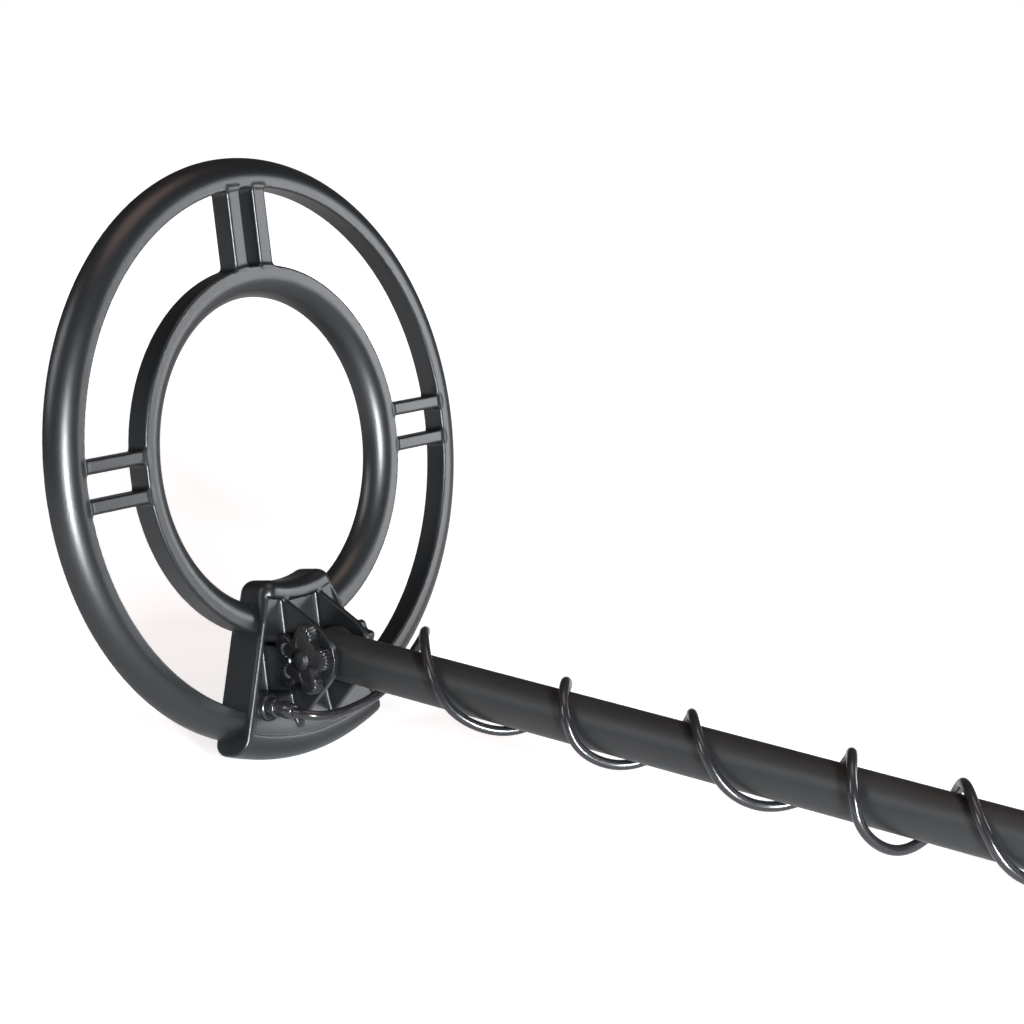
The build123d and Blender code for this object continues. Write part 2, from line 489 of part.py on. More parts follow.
def arm_rest():
    tube = rod_along("X", -60, 60, UPPER_R + 0.08)
    cuff = trough(CUFF_R, CUFF_R + CUFF_WALL, CUFF_LENGTH, CUFF_SIDE)
    cuff += box_between((-30, -13, 4), (30, 13, CUFF_BOTTOM + 1.5)) - tube
    cuff -= trough(CUFF_R - 5, CUFF_R, CUFF_LENGTH + 2, CUFF_SIDE + 2)
    for side in (-1, 1):
        cuff -= Pos(0, side * (CUFF_R + 1.5), 0) * box_between((-17, -4, 76), (17, 4, 80))
    bolt_way = rod_along("Z", -40, 40, BOLT_SHANK_R + 0.1)
    bolt_way += rod_along("Z", CUFF_BOTTOM + CUFF_WALL, 40, 6.2)
    nodes["arm_cuff"] = CUFF_PLANE * (cuff - bolt_way)
    pad = trough(CUFF_R - 4.2, CUFF_R - 0.1, CUFF_LENGTH - 6, CUFF_SIDE - 12)
    nodes["cuff_pad"] = CUFF_PLANE * (pad - rod_along("Z", -40, 40, 6.5))
    bolt = rod_along("Z", -24, CUFF_BOTTOM + CUFF_WALL, BOLT_SHANK_R)
    bolt += rod_along("Z", CUFF_BOTTOM + CUFF_WALL, CUFF_BOTTOM + 5.6, 6.0)
    nodes["cuff_bolt"] = CUFF_PLANE * bolt
    knob = lobed(6.0, 3.2, 5, 8) - extrude(Circle(BOLT_SHANK_R + RUNNING_FIT), 9)
    nodes["cuff_knob"] = CUFF_PLANE * (Pos(0, 0, -26.2) * knob)


def leg_line(side):
    """Top and bottom of one leg's axis, in the arm rest's frame."""
    drop = (AXIS_HEIGHT + REAR_Z - CUFF_AT * SIN_REAR - 5) / COS_REAR
    return Vector(0, side * 13.5, -13), Vector(0, side * FOOT_Y, -drop)


def stand():
    """Two splayed legs on a saddle under the tube, with a rubber foot on each."""
    body = box_between((-16, -17, -18), (16, 17, 2)) - rod_along("X", -30, 30, UPPER_R + 0.08)
    body -= box_between((-20, -13, -2), (20, 13, 6))
    body += box_between((-16, -17, -18), (16, 17, -13.2))
    feet = []
    for side in (-1, 1):
        top, bottom = leg_line(side)
        leg = sweep(Plane(origin=top, z_dir=bottom - top) * Circle(5.0), path=Line(top, bottom))
        body += leg
        ground = CUFF_PLANE.from_local_coords(bottom)
        foot = Pos(ground.X, ground.Y, -AXIS_HEIGHT) * extrude(Circle(8.5), 13)
        foot = fillet(foot.edges().group_by(Axis.Z)[-1], 3)
        feet.append(foot - CUFF_PLANE * leg)
    body -= rod_along("Z", -40, 0, BOLT_SHANK_R + 0.1)
    nodes["stand"] = CUFF_PLANE * body
    nodes["stand_feet"] = Compound(children=feet)


def arm_strap():
    """The soft strap that closes over the forearm, from one side of the cuff to the other."""
    centre = CUFF_BOTTOM + CUFF_WALL + CUFF_R
    outer, inner = CUFF_R + 5.0, CUFF_R + CUFF_WALL + 0.05
    section = (Circle(outer) - Circle(inner)) & (Pos(0, 60) * Rectangle(200, 120))
    arch = Pos(0, CUFF_SIDE) * section
    for side in (-1, 1):
        arch += Pos(side * (inner + outer) / 2, CUFF_SIDE / 2) * Rectangle(outer - inner, CUFF_SIDE)
    nodes["arm_strap"] = CUFF_PLANE * (Pos(-15, 0, centre) * extrude(Plane.YZ * arch, 30))


# ---------------------------------------------------------------- cable
# Places where the route passes the rod, as distance along the rod, angle about it and distance
# from its axis; 90 degrees is the top, and the turns run down the near side.
ROD_TURNS = [(48, 90, 15.8), (62, 150, 13.2), (74, 210, 12.7), (89, 270, 12.3), (101, 330, 12.6),
             (109, 390, 13.0), (116, 450, 12.6), (124.5, 510, 13.4), (132, 570, 13.0), (143.5, 630, 12.6),
             (156, 690, 12.5), (164, 750, 13.2), (172, 810, 12.8), (184.5, 870, 13.4), (196, 930, 12.9),
             (207.5, 990, 12.5), (221, 1050, 12.5), (230, 1110, 13.6), (237.6, 1170, 13.8),
             (245.5, 1230, 13.8), (251, 1290, 14.4), (259.5, 1350, 15.4), (268, 1410, 13.0),
             (272, 1470, 13.8), (281, 1530, 13.0), (293, 1590, 12.8), (304, 1650, 12.6)]
LEAD_POINTS = [(16.0, -22.0, -18.3), (18.5, -12.5, -18.4), (19.0, -2.0, -17.6), (19.5, 9.0, -15.6),
               (22.5, 18.0, -8.0), (29.0, 20.5, 3.5), (38.0, 15.5, 14.2)]
TAIL_POINTS = [(697, 19.0, 18.0), (703, 27.0, 34.0), (702, 32.5, 57.0), (695, 35.0, 81.0),
               (685, 35.5, 106.0), (680, 34.5, 129.0), (687, 33.0, 145.0)]
SLEEVE_RUN, PLUG_RUN = 4.5, 14.0        # straight stretches of cable at the sleeve and the plug
TURNS_END = 686.0          # where the last turn leaves the handle tube
REGULAR_STEPS = 39
LEAD_LAST, ROD_LAST, SLIDE_LAST = 9, 15, 36     # route points at which one stretch ends
MIDDLE_TIE, UPPER_TIE, TIE_LENGTH = 47, -12, 14.0     # route points of the two ties


def radius_at(x):
    """Distance of the cable's axis from the rod's, which grows over the tubes and their collars."""
    if x < 322:
        return 12.6
    if x < 388:
        return MIDDLE_R + 8.0
    if x < 544:
        return MIDDLE_R + 2.6
    if x < 606:
        return UPPER_R + 8.0
    return UPPER_R + 2.6


def on_turn(x, angle, radius):
    r = radius / TURN_SHRINK
    return Vector(x, r * math.cos(math.radians(angle)), r * math.sin(math.radians(angle)))


def regular_turns():
    """Route points of the even turns, each a sixth of a turn on from the last."""
    x, angle, _ = ROD_TURNS[-1]
    step = (TURNS_END - x) / REGULAR_STEPS
    places = [(x + step * i, angle + 360 / TURN_POINTS * i) for i in range(1, REGULAR_STEPS + 1)]
    return [on_turn(place, turn, radius_at(place)) for place, turn in places]


def cable_route():
    """Every point of the route, from the sleeve on the coil to the plug on the housing."""
    start, bend = [COIL_PLANE.from_local_coords((SLEEVE_PLACE * Pos(0, 0, reach)).position)
                   for reach in (SLEEVE_LENGTH, SLEEVE_LENGTH + SLEEVE_RUN)]
    plug = Vector(APEX_X + HOUSING_FRONT - 46, SOCKET_Y, APEX_Z + SOCKET_Z)
    route = [start, bend] + [Vector(*p) for p in LEAD_POINTS] + [on_turn(*t) for t in ROD_TURNS]
    route += regular_turns() + [Vector(*p) for p in TAIL_POINTS]
    return route + [plug - Vector(PLUG_RUN, 0, 0), plug]


def bend_radii(points):
    """The largest arc that each corner's two runs allow."""
    runs = [(b - a).length for a, b in zip(points, points[1:])]
    turns = [(b - a).get_angle(c - b) for a, b, c in zip(points, points[1:], points[2:])]
    half_turns = [math.radians(turn / 2) for turn in turns]
    return [0.45 * min(a, b) / math.tan(half) for a, b, half in zip(runs, runs[1:], half_turns)]


def cable_piece(name, points, radii):
    """One stretch of cable: straight runs joined by tangent arcs."""
    path = FilletPolyline(*points, radius=radii)
    tube = sweep(Plane(origin=path @ 0, z_dir=path % 0) * Circle(CABLE_R), path=path)
    share = tube.volume / (math.pi * CABLE_R ** 2 * path.length)
    print(name, "length", round(path.length, 1), "volume share", round(share, 4),
          "radii", [round(r, 1) for r in radii])
    nodes[name] = tube


def cable():
    """The cable as four stretches that meet in the middle of a run, and the ties that hold it."""
    route = cable_route()
    radii = bend_radii(route)
    names = ["cable_lead", "cable_rod_turns", "cable_slide_turns", "cable_shaft_turns"]
    joins = [0, LEAD_LAST, ROD_LAST, SLIDE_LAST, len(route) - 2]
    for name, before, last in zip(names, joins, joins[1:]):
        start = (route[before] + route[before + 1]) / 2 if before else route[0]
        stop = (route[last] + route[last + 1]) / 2 if last < len(route) - 2 else route[-1]
        cable_piece(name, [start] + route[before + 1:last + 1] + [stop], radii[before:last])
    ties = []
    for at, tube_r in ((MIDDLE_TIE, MIDDLE_R), (UPPER_TIE, UPPER_R)):
        middle = (route[at] + route[at + 1]) / 2
        band = rod_along("X", middle.X - TIE_LENGTH / 2, middle.X + TIE_LENGTH / 2, tube_r + 1.6)
        loop = Pos(0, 0, -3.5) * extrude(Circle(3.3), 7)
        band += Plane(origin=middle, z_dir=route[at + 1] - route[at]) * loop
        tube = rod_along("X", middle.X - 20, middle.X + 20, tube_r + 0.02)
        ties.append(band - tube - nodes["cable_shaft_turns"])
    nodes["cable_ties"] = Compound(children=ties)


def build():
    coil = search_coil()
    coil_mount(coil)
    cable_gland()
    pivot_hardware()
    lower_rod()
    tubes()
    snap_button()
    foam_grip()
    housing_shells()
    housing_mounting()
    panel_parts()
    battery_bay()
    sockets()
    arm_rest()
    stand()
    arm_strap()
    cable()


build()
boxes = [shape.bounding_box() for name, shape in nodes.items() if not name.startswith("cable_")]
MIDDLE_X = (min(box.min.X for box in boxes) + max(box.max.X for box in boxes)) / 2
print("middle", MIDDLE_X, "lowest", min(box.min.Z for box in boxes) + AXIS_HEIGHT)
for name, shape in nodes.items():
    export_step(Pos(-MIDDLE_X, 0, AXIS_HEIGHT) * shape, f"parts/{name}.step")
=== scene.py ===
from math import acos, atan2, cos, hypot, pi, radians, sin, sqrt, tan
import bmesh
import bpy
import numpy as np
import openvdb
from mathutils import Matrix, Vector


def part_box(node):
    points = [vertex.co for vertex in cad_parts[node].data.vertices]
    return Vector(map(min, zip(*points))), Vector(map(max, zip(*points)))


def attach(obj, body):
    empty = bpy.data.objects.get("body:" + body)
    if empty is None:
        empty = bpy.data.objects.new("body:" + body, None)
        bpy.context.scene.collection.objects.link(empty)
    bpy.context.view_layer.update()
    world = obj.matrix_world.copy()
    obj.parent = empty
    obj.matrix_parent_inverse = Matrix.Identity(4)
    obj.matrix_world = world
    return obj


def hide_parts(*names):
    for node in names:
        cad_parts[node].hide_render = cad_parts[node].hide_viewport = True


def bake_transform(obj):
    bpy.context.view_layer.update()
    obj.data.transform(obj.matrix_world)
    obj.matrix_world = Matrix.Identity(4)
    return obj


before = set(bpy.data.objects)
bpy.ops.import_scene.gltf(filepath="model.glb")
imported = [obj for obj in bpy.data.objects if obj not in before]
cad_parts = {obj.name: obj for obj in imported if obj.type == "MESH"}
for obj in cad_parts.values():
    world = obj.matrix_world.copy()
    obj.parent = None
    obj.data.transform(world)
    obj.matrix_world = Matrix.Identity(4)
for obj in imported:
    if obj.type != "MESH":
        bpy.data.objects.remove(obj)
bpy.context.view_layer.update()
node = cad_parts

# ------------------------------ search coil
# Two concentric rings joined by pairs of spokes, moulded in one piece of satin charcoal nylon.
# A thin base cover closes the winding channels from behind. Both have softly rounded edges.
pivot_low, pivot_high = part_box("pivot_bolt")
PIVOT = Vector(((pivot_low.x + pivot_high.x) / 2, 0, (pivot_low.z + pivot_high.z) / 2))
LEAN = radians(11.4)
PIVOT_Y, PIVOT_Z = -82.0, 12.3          # the tilt pivot in the coil's own frame, in mm
MM = 0.001
SIN, COS = sin(LEAN), cos(LEAN)
COIL = Matrix.Translation(PIVOT) @ Matrix((
    (0, -SIN, COS, 0), (1, 0, 0, 0), (0, COS, SIN, 0), (0, 0, 0, 1),
)) @ Matrix.Scale(MM, 4) @ Matrix.Translation((0, -PIVOT_Y, -PIVOT_Z))
BUILD = Matrix.Translation(PIVOT) @ Matrix.Scale(MM, 4)   # mm from the pivot, X along the rod


class Value:
    """A shader socket that takes part in sums; each sum adds a Math node."""

    def __init__(self, finish, socket):
        self.finish, self.socket = finish, socket

    def math(self, operation, *terms):
        return self.finish.node("Math", {"operation": operation}, terms)

    def __add__(self, other):
        return self.math("ADD", self, other)

    def __radd__(self, other):
        return self.math("ADD", other, self)

    def __sub__(self, other):
        return self.math("SUBTRACT", self, other)

    def __rsub__(self, other):
        return self.math("SUBTRACT", other, self)

    def __mul__(self, other):
        return self.math("MULTIPLY", self, other)

    def __gt__(self, other):
        return self.math("GREATER_THAN", self, other)

    def clamp(self, low=0.0, high=1.0):
        return self.math("MINIMUM", self.math("MAXIMUM", self, low), high)


class Finish:
    """A material. node() adds any shader node and gives one of its outputs back as a Value."""

    def __init__(self, name, **fixed):
        self.material = bpy.data.materials.new(name)
        self.material.use_nodes = True
        self.tree = self.material.node_tree
        self.shader = self.tree.nodes["Principled BSDF"]
        self.set(**fixed)
        self.place = self.node("TexCoord", output="Object")

    def node(self, kind, settings=None, inputs=(), output=0):
        made = self.tree.nodes.new("ShaderNode" + kind)
        for key, value in (settings or {}).items():
            setattr(made, key, value)
        for key, value in inputs.items() if isinstance(inputs, dict) else enumerate(inputs):
            self.feed(made.inputs[key], value)
        return Value(self, made.outputs[output])

    def feed(self, socket, value):
        if isinstance(value, Value):
            self.tree.links.new(value.socket, socket)
        elif isinstance(value, tuple) and socket.type == "RGBA":
            socket.default_value = (*value, 1)
        else:
            socket.default_value = value

    def set(self, **values):
        for key, value in values.items():
            self.feed(self.shader.inputs[key.replace("_", " ")], value)

    def noise(self, scale, detail=2.0, stretch=None):
        place = self.place
        if stretch:
            place = self.node("Mapping", None, {"Vector": place, "Scale": stretch})
        return self.node("TexNoise", None, {"Vector": place, "Scale": scale, "Detail": detail}, "Fac")

    def tint(self, mask, dark, light):
        return self.node("Mix", {"data_type": "RGBA"}, {0: mask, 6: dark, 7: light}, 2)

    def edge(self, radius):
        """1 at the worn convex edges of a piece, 0 on its faces."""
        soft = self.node("Bevel", {"samples": 4}, {"Radius": radius})
        face = self.node("NewGeometry", output="Normal")
        level = self.node("VectorMath", {"operation": "DOT_PRODUCT"}, (soft, face), "Value")
        return ((1 - level) * 6.0).clamp()

    def relief(self, height, depth, strength=1.0, soften=None):
        settings = {"Height": height, "Distance": depth, "Strength": strength}
        if soften:
            settings["Normal"] = self.node("Bevel", {"samples": 4}, {"Radius": soften})
        self.set(Normal=self.node("Bump", None, settings))


def moulded_finish(name, dark, light, rough, grain=1500.0, depth=0.00005, worn=0.35, soften=None):
    """Moulded plastic: faint clouding, a fine spark-eroded grain and slightly polished edges."""
    finish = Finish(name)
    cloud = finish.noise(18.0, 4.0)
    rubbed = finish.edge(0.0007) * finish.noise(160.0, 3.0) * worn
    worn_colour = tuple(min(1.0, 3.0 * c + 0.02) for c in light)
    finish.set(Base_Color=finish.tint(rubbed, finish.tint(cloud, dark, light), worn_colour))
    speck = finish.noise(grain, 2.0)
    finish.set(Roughness=(rough - 0.06 + cloud * 0.08 + speck * 0.06 - rubbed * 0.1).clamp(0.05, 0.95))
    finish.relief(speck, depth, 0.8, soften)
    return finish.material


def corner(u, v, radius):
    """Distance to a block that fills u < 0 and v < 0, with a rounded edge."""
    u, v = u + radius, v + radius
    return np.hypot(np.maximum(u, 0), np.maximum(v, 0)) + np.minimum(np.maximum(u, v), 0) - radius


def block(x, y, z, half, radius):
    """Distance to a box about the origin with rounded edges."""
    q = [np.abs(c) - h + radius for c, h in zip((x, y, z), half)]
    outside = np.sqrt(sum(np.maximum(c, 0) ** 2 for c in q))
    return outside + np.minimum(np.maximum(np.maximum(q[0], q[1]), q[2]), 0) - radius


def joined(a, b, fillet):
    """Two distances as one body, with a fillet where they meet."""
    share = np.clip(0.5 + 0.5 * (b - a) / fillet, 0, 1)
    return b * (1 - share) + a * share - fillet * share * (1 - share)


def cut(a, b, fillet):
    """Body a without body b, with rounded edges."""
    return -joined(-a, b, fillet)


def moulded(name, low, high, step, distance, place, finish):
    """A piece on the surface where distance() is 0, in the piece's own millimetres."""
    low = np.array(low, float)
    axes = [np.arange(a, b, step) for a, b in zip(low, high)]
    field = distance(*np.meshgrid(*axes, indexing="ij"))
    grid = openvdb.FloatGrid(float(field.max()))
    grid.copyFromArray(field.astype(np.float32))
    points, triangles, quads = grid.convertToPolygons(0.0, 0.0)
    points = points.astype(float) * step + low
    for _ in range(2):
        normals = slope(distance, points)
        points -= normals * np.clip(distance(*points.T), -0.3 * step, 0.3 * step)[:, None]
    normals = slope(distance, points)
    mesh = bpy.data.meshes.new(name)
    faces = [tuple(int(i) for i in face) for face in [*quads, *triangles]]
    mesh.from_pydata(points.tolist(), [], faces)
    first = mesh.polygons[0]
    if first.normal.dot(Vector(normals[first.vertices[0]])) < 0:
        mesh.flip_normals()
    mesh.shade_smooth()
    mesh.transform(place)
    turn = np.array(place.to_3x3().normalized())
    mesh.normals_split_custom_set_from_vertices((normals @ turn.T).tolist())
    return piece(name, mesh, finish)


def slope(distance, points, reach=0.04):
    sides = []
    for axis in range(3):
        shift = np.zeros(3)
        shift[axis] = reach
        sides.append(distance(*(points + shift).T) - distance(*(points - shift).T))
    normals = np.stack(sides, axis=1)
    return normals / np.maximum(np.linalg.norm(normals, axis=1), 1e-9)[:, None]


def piece(name, mesh, finish):
    """A mesh as an object of the scene, with its one finish."""
    made = bpy.data.objects.new(name, mesh)
    bpy.context.scene.collection.objects.link(made)
    mesh.materials.clear()
    mesh.materials.append(finish)
    return made


def stands_for(made, body, slot, *cad):
    """The piece rides on a body and takes the place of its CAD nodes."""
    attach(made, body)
    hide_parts(*cad)


def dress(finish, *names):
    """CAD nodes whose shape is right get their finish."""
    for name in names:
        node[name].data.materials.clear()
        node[name].data.materials.append(finish)


RING_DEPTH = 10.0
OUTER_RING, INNER_RING = (105.0, 117.6), (62.0, 74.3)
charcoal = moulded_finish("satin_charcoal", (0.0035, 0.0042, 0.0048), (0.0062, 0.0070, 0.0080), 0.33)


def ring_section(r, z, free, other, shoulder):
    """A ring's section: a large rounding on its free upper edge, small ones on the others."""
    sign = 1 if free > other else -1
    beyond, within = sign * (r - free), sign * (other - r)
    upper = np.maximum(corner(beyond, z, shoulder), corner(within, z, 0.8))
    lower = np.maximum(corner(beyond, -RING_DEPTH - z, 0.8), corner(within, -RING_DEPTH - z, 0.8))
    return np.maximum(upper, lower)


def coil_distance(x, y, z):
    r = np.hypot(x, y)
    rings = np.minimum(ring_section(r, z, OUTER_RING[1], OUTER_RING[0], 9.2),
                       ring_section(r, z, INNER_RING[0], INNER_RING[1], 8.4))
    side_bars = block(np.abs(x) - 89.6, np.abs(y) - 7.5, z + 4.85, (16.5, 2.65, 4.55), 0.9)
    top_bars = block(np.abs(x + 1) - 7.3, y - 89.6, z + 4.85, (3.75, 16.5, 4.55), 1.1)
    return joined(rings, np.minimum(side_bars, top_bars), 1.8)


shell = moulded("coil_rings", (-119, -119, -12), (119, 119, 2), 0.8, coil_distance, COIL, charcoal)
stands_for(shell, "coil", "coil_plastic", "coil_shell")
enamel = Finish("enamelled_copper", Metallic=1.0, Roughness=0.3)
enamel.set(Base_Color=enamel.tint(enamel.noise(900.0), (0.45, 0.16, 0.06), (0.75, 0.32, 0.14)))
dress(enamel.material, "transmit_winding", "receive_winding")

# ------------------------------ coil mount
# One moulding that wraps round both rings behind the coil: a saddle-shaped front lip with two horns,
# thin side walls, a deep pocket between the rings, a crescent bumper, and two ears for the tilt bolt.
MOUNT_TURN, MOUNT_HALF = radians(-0.6), radians(20.4)
MOUNT_IN, MOUNT_OUT, MOUNT_LOW, MOUNT_RIM, MOUNT_FLOOR = 53.0, 123.4, -14.0, 3.6, 1.6
EAR_MIDDLE, EAR_HALF, EAR_R = 10.4, 1.4, 13.8


def tangent_point(outside, radius, side):
    """Where a line from a point touches the round top of an ear."""
    dy, dz = outside[0] - PIVOT_Y, outside[1] - PIVOT_Z
    angle = atan2(dz, dy) + side * acos(radius / hypot(dy, dz))
    return PIVOT_Y + radius * cos(angle), PIVOT_Z + radius * sin(angle)


def ear_distance(x, y, z):
    foot_front, foot_rear = (-57.0, 0.5), (-111.0, 0.5)
    outline = [foot_rear, foot_front]
    outline += [tangent_point(foot_front, EAR_R, 1), tangent_point(foot_rear, EAR_R, -1)]
    plate = np.full(np.shape(y), -1e3)
    for (ya, za), (yb, zb) in zip(outline, outline[1:] + outline[:1]):
        long = hypot(yb - ya, zb - za)
        plate = np.maximum(plate, ((y - ya) * (zb - za) - (z - za) * (yb - ya)) / long)
    plate = np.minimum(plate, np.hypot(y - PIVOT_Y, z - PIVOT_Z) - EAR_R)
    web = np.maximum(np.abs(y + 86.4) - 9.4, np.abs(z + 5.0) - 7.0)
    sheet = corner(np.minimum(plate, web), np.abs(np.abs(x) - EAR_MIDDLE) - EAR_HALF, 0.5)
    return np.maximum(sheet, 4.1 - np.hypot(y - PIVOT_Y, z - PIVOT_Z))


def mount_distance(x, y, z):
    r = np.hypot(x, y)
    angle = np.abs(np.arctan2(x, -y) - MOUNT_TURN)
    plan = corner(MOUNT_IN - 1.0 - r, r * np.sin(angle - MOUNT_HALF), 5.5)
    ease = np.clip((70 - r) / 10, 0, 1)
    over, under, outside = z - MOUNT_RIM, MOUNT_LOW - z, r - MOUNT_OUT
    front = np.maximum(corner(plan, over, 2.2 + 3.2 * ease), corner(plan, under, 1.2 + 3.8 * ease))
    rear = np.maximum(corner(outside, over, 8.5), corner(outside, under, 6.0))
    body = cut(front, -rear, 1.0)
    rise = np.clip((r - 99) / 14, 0, 1)
    floor = MOUNT_FLOOR + (MOUNT_RIM - MOUNT_FLOOR) * rise * rise * (3 - 2 * rise)
    wall = r * np.sin(angle - radians(18.2))
    tray = np.maximum(np.maximum(59.5 - r, r - 113), np.maximum(wall, floor - z))
    body = cut(body, tray, 1.6)
    pocket = np.maximum(np.maximum(76.5 - r, r - 96.5), np.maximum(wall + 0.6, -11.5 - z))
    return joined(cut(body, pocket, 2.4), ear_distance(x, y, z), 1.6)


mount = moulded("coil_mount_body", (-47, -126, -16), (47, -48, 28), 0.6, mount_distance, COIL, charcoal)
stands_for(mount, "coil", "coil_plastic", "coil_mount")

# ------------------------------ cable gland and sleeve
# A glossy nylon gland with a flange sits on the mount. A short smooth rubber sleeve comes out of it
# and keeps the cable from kinking. The flat back covers of the coil's rings are turned here too.
GLAND_HEIGHT, SLEEVE_LENGTH, SLEEVE_RUN = 6.5, 7.0, 4.5
GLAND_PLACE = COIL @ Matrix.Translation((-27.0, -99.0, 1.8))
SLEEVE_DROOP = radians(11)
SLEEVE_PLACE = GLAND_PLACE @ Matrix.Translation((0, 0, GLAND_HEIGHT)) @ Matrix.Rotation(SLEEVE_DROOP, 4, "X")


def rounded(corners, steps=5):
    """An outline through (x, y, radius) corners, with each corner rounded."""
    points = []
    for number, (x, y, radius) in enumerate(corners):
        here = Vector((x, y))
        back = (Vector(corners[number - 1][:2]) - here).normalized()
        ahead = (Vector(corners[(number + 1) % len(corners)][:2]) - here).normalized()
        if radius == 0:
            points.append((x, y))
            continue
        half = back.angle(ahead) / 2
        centre = here + (back + ahead).normalized() * radius / sin(half)
        start, stop = (here + side * radius / tan(half) - centre for side in (back, ahead))
        for step in range(steps + 1):
            share = step / steps
            spoke = start.slerp(stop, share)
            points.append(tuple(centre + spoke))
    return points


def skin(name, loops, finish, place, closed=True, capped=True):
    """A skin over loops of points; the last loop joins the first if closed, or both ends get caps."""
    form = bmesh.new()
    rings = [[form.verts.new(p) for p in loop] for loop in loops]
    pairs = list(zip(rings, rings[1:])) + ([(rings[-1], rings[0])] if closed else [])
    for a, b in pairs:
        for i in range(len(a)):
            j = (i + 1) % len(a)
            form.faces.new((a[i], a[j], b[j], b[i]))
    if capped and not closed:
        form.faces.new(rings[0][::-1])
        form.faces.new(rings[-1])
    bmesh.ops.remove_doubles(form, verts=form.verts, dist=1e-5)
    bmesh.ops.recalc_face_normals(form, faces=form.faces)
    mesh = bpy.data.meshes.new(name)
    form.to_mesh(mesh)
    form.free()
    mesh.transform(place)
    mesh.shade_smooth()
    mesh.set_sharp_from_angle(angle=radians(38))
    return piece(name, mesh, finish)


def turned(name, outline, finish, place, segments=64):
    """A piece turned about Z from an outline of (radius, height); points on the axis close it."""
    loops = []
    for number in range(segments):
        angle = 2 * pi * number / segments
        loops.append([(r * cos(angle), r * sin(angle), z) for r, z in outline])
    return skin(name, loops, finish, place)


def fuse(name, parts, finish):
    """Several shapes as one piece."""
    form = bmesh.new()
    for part in parts:
        form.from_mesh(part.data)
        bpy.data.objects.remove(part)
    mesh = bpy.data.meshes.new(name)
    form.to_mesh(mesh)
    form.free()
    return piece(name, mesh, finish)


covers = []
for inner_edge, outer_edge in ((107.0, 115.6), (64.0, 72.3)):
    outline = rounded([(inner_edge, -9.0, 0), (inner_edge, -10.3, 0.3),
                       (outer_edge, -10.3, 0.3), (outer_edge, -9.0, 0)], 3)
    covers.append(turned("cover", outline, charcoal, COIL, 200))
stands_for(fuse("coil_back_cover", covers, charcoal), "coil", "coil_plastic", "coil_base_cover")
glossy = Finish("gloss_nylon", Base_Color=(0.012, 0.012, 0.013), Specular_IOR_Level=0.6)
smear = glossy.noise(220.0, 4.0)
glossy.set(Roughness=smear * 0.12 + 0.12)
glossy.relief(smear, 0.00003)
gloss = glossy.material
outline = rounded([(0, 0, 0), (5.0, 0, 0.2), (5.0, 1.6, 0.6), (4.4, 2.0, 0.3), (4.4, GLAND_HEIGHT, 1.5),
                   (2.9, GLAND_HEIGHT, 0.6), (2.7, 5.0, 0), (0, 5.0, 0)])
gland = turned("gland_body", outline, gloss, GLAND_PLACE)
stands_for(gland, "coil", "gland_nylon", "cable_gland")
rubber_finish = Finish("soft_rubber", Roughness=0.62)
rubber_cloud = rubber_finish.noise(240.0, 5.0)
rubber_finish.set(Base_Color=rubber_finish.tint(rubber_cloud, (0.013, 0.013, 0.014), (0.028, 0.028, 0.029)))
rubber_finish.relief(rubber_finish.noise(2600.0, 3.0), 0.00006)
rubber = rubber_finish.material
outline = rounded([(1.9, -1.2, 0), (2.95, -1.2, 0), (2.95, 0.6, 0.8), (2.45, 4.0, 2.0),
                   (2.3, SLEEVE_LENGTH, 0.35), (1.9, SLEEVE_LENGTH, 0)])
sleeve = turned("cable_sleeve_taper", outline, gloss, SLEEVE_PLACE, 48)
stands_for(sleeve, "coil", "rubber", "cable_sleeve")

# ------------------------------ tilt pivot
# An 8 mm nylon bolt with a scalloped head clamps the rod between the ears. A star knob with five
# ridged lobes tightens it on the near side, and rubber washers fill the gaps.
EAR_OUT, LOBE_R, LOBE_AT, LOBES, WAIST_R = 11.8, 4.5, 10.0, 5, 9.4
hard_black = moulded_finish("hard_black_nylon", (0.0035, 0.0035, 0.0038), (0.0070, 0.0070, 0.0075), 0.34,
                            900.0, 0.00004)


def lobed(name, outline, rise, finish, place):
    """A knob: outline gives its radius at an angle, and (inset, height) steps lead round its section."""
    angles = [2 * pi * i / 480 for i in range(480)]
    loops = []
    for inset, height in rise:
        reach = [outline(angle) - inset for angle in angles]
        loops.append([(r * cos(a), r * sin(a), height) for r, a in zip(reach, angles)])
    return skin(name, loops, finish, place, False)


def star_outline(angle):
    """A disc with five round lobes, and fine ridges across the end of each."""
    off = (angle + pi / LOBES) % (2 * pi / LOBES) - pi / LOBES
    inside = LOBE_R ** 2 - (LOBE_AT * sin(off)) ** 2
    lobe = LOBE_AT * cos(off) + sqrt(inside) if inside > 0 else 0.0
    radius = max(lobe, WAIST_R)
    return radius + 0.28 * min(1.0, (radius - WAIST_R) / 2) * (cos(60 * angle) - 1)


def head_outline(angle):
    return 10.6 + 0.85 * cos(10 * angle)


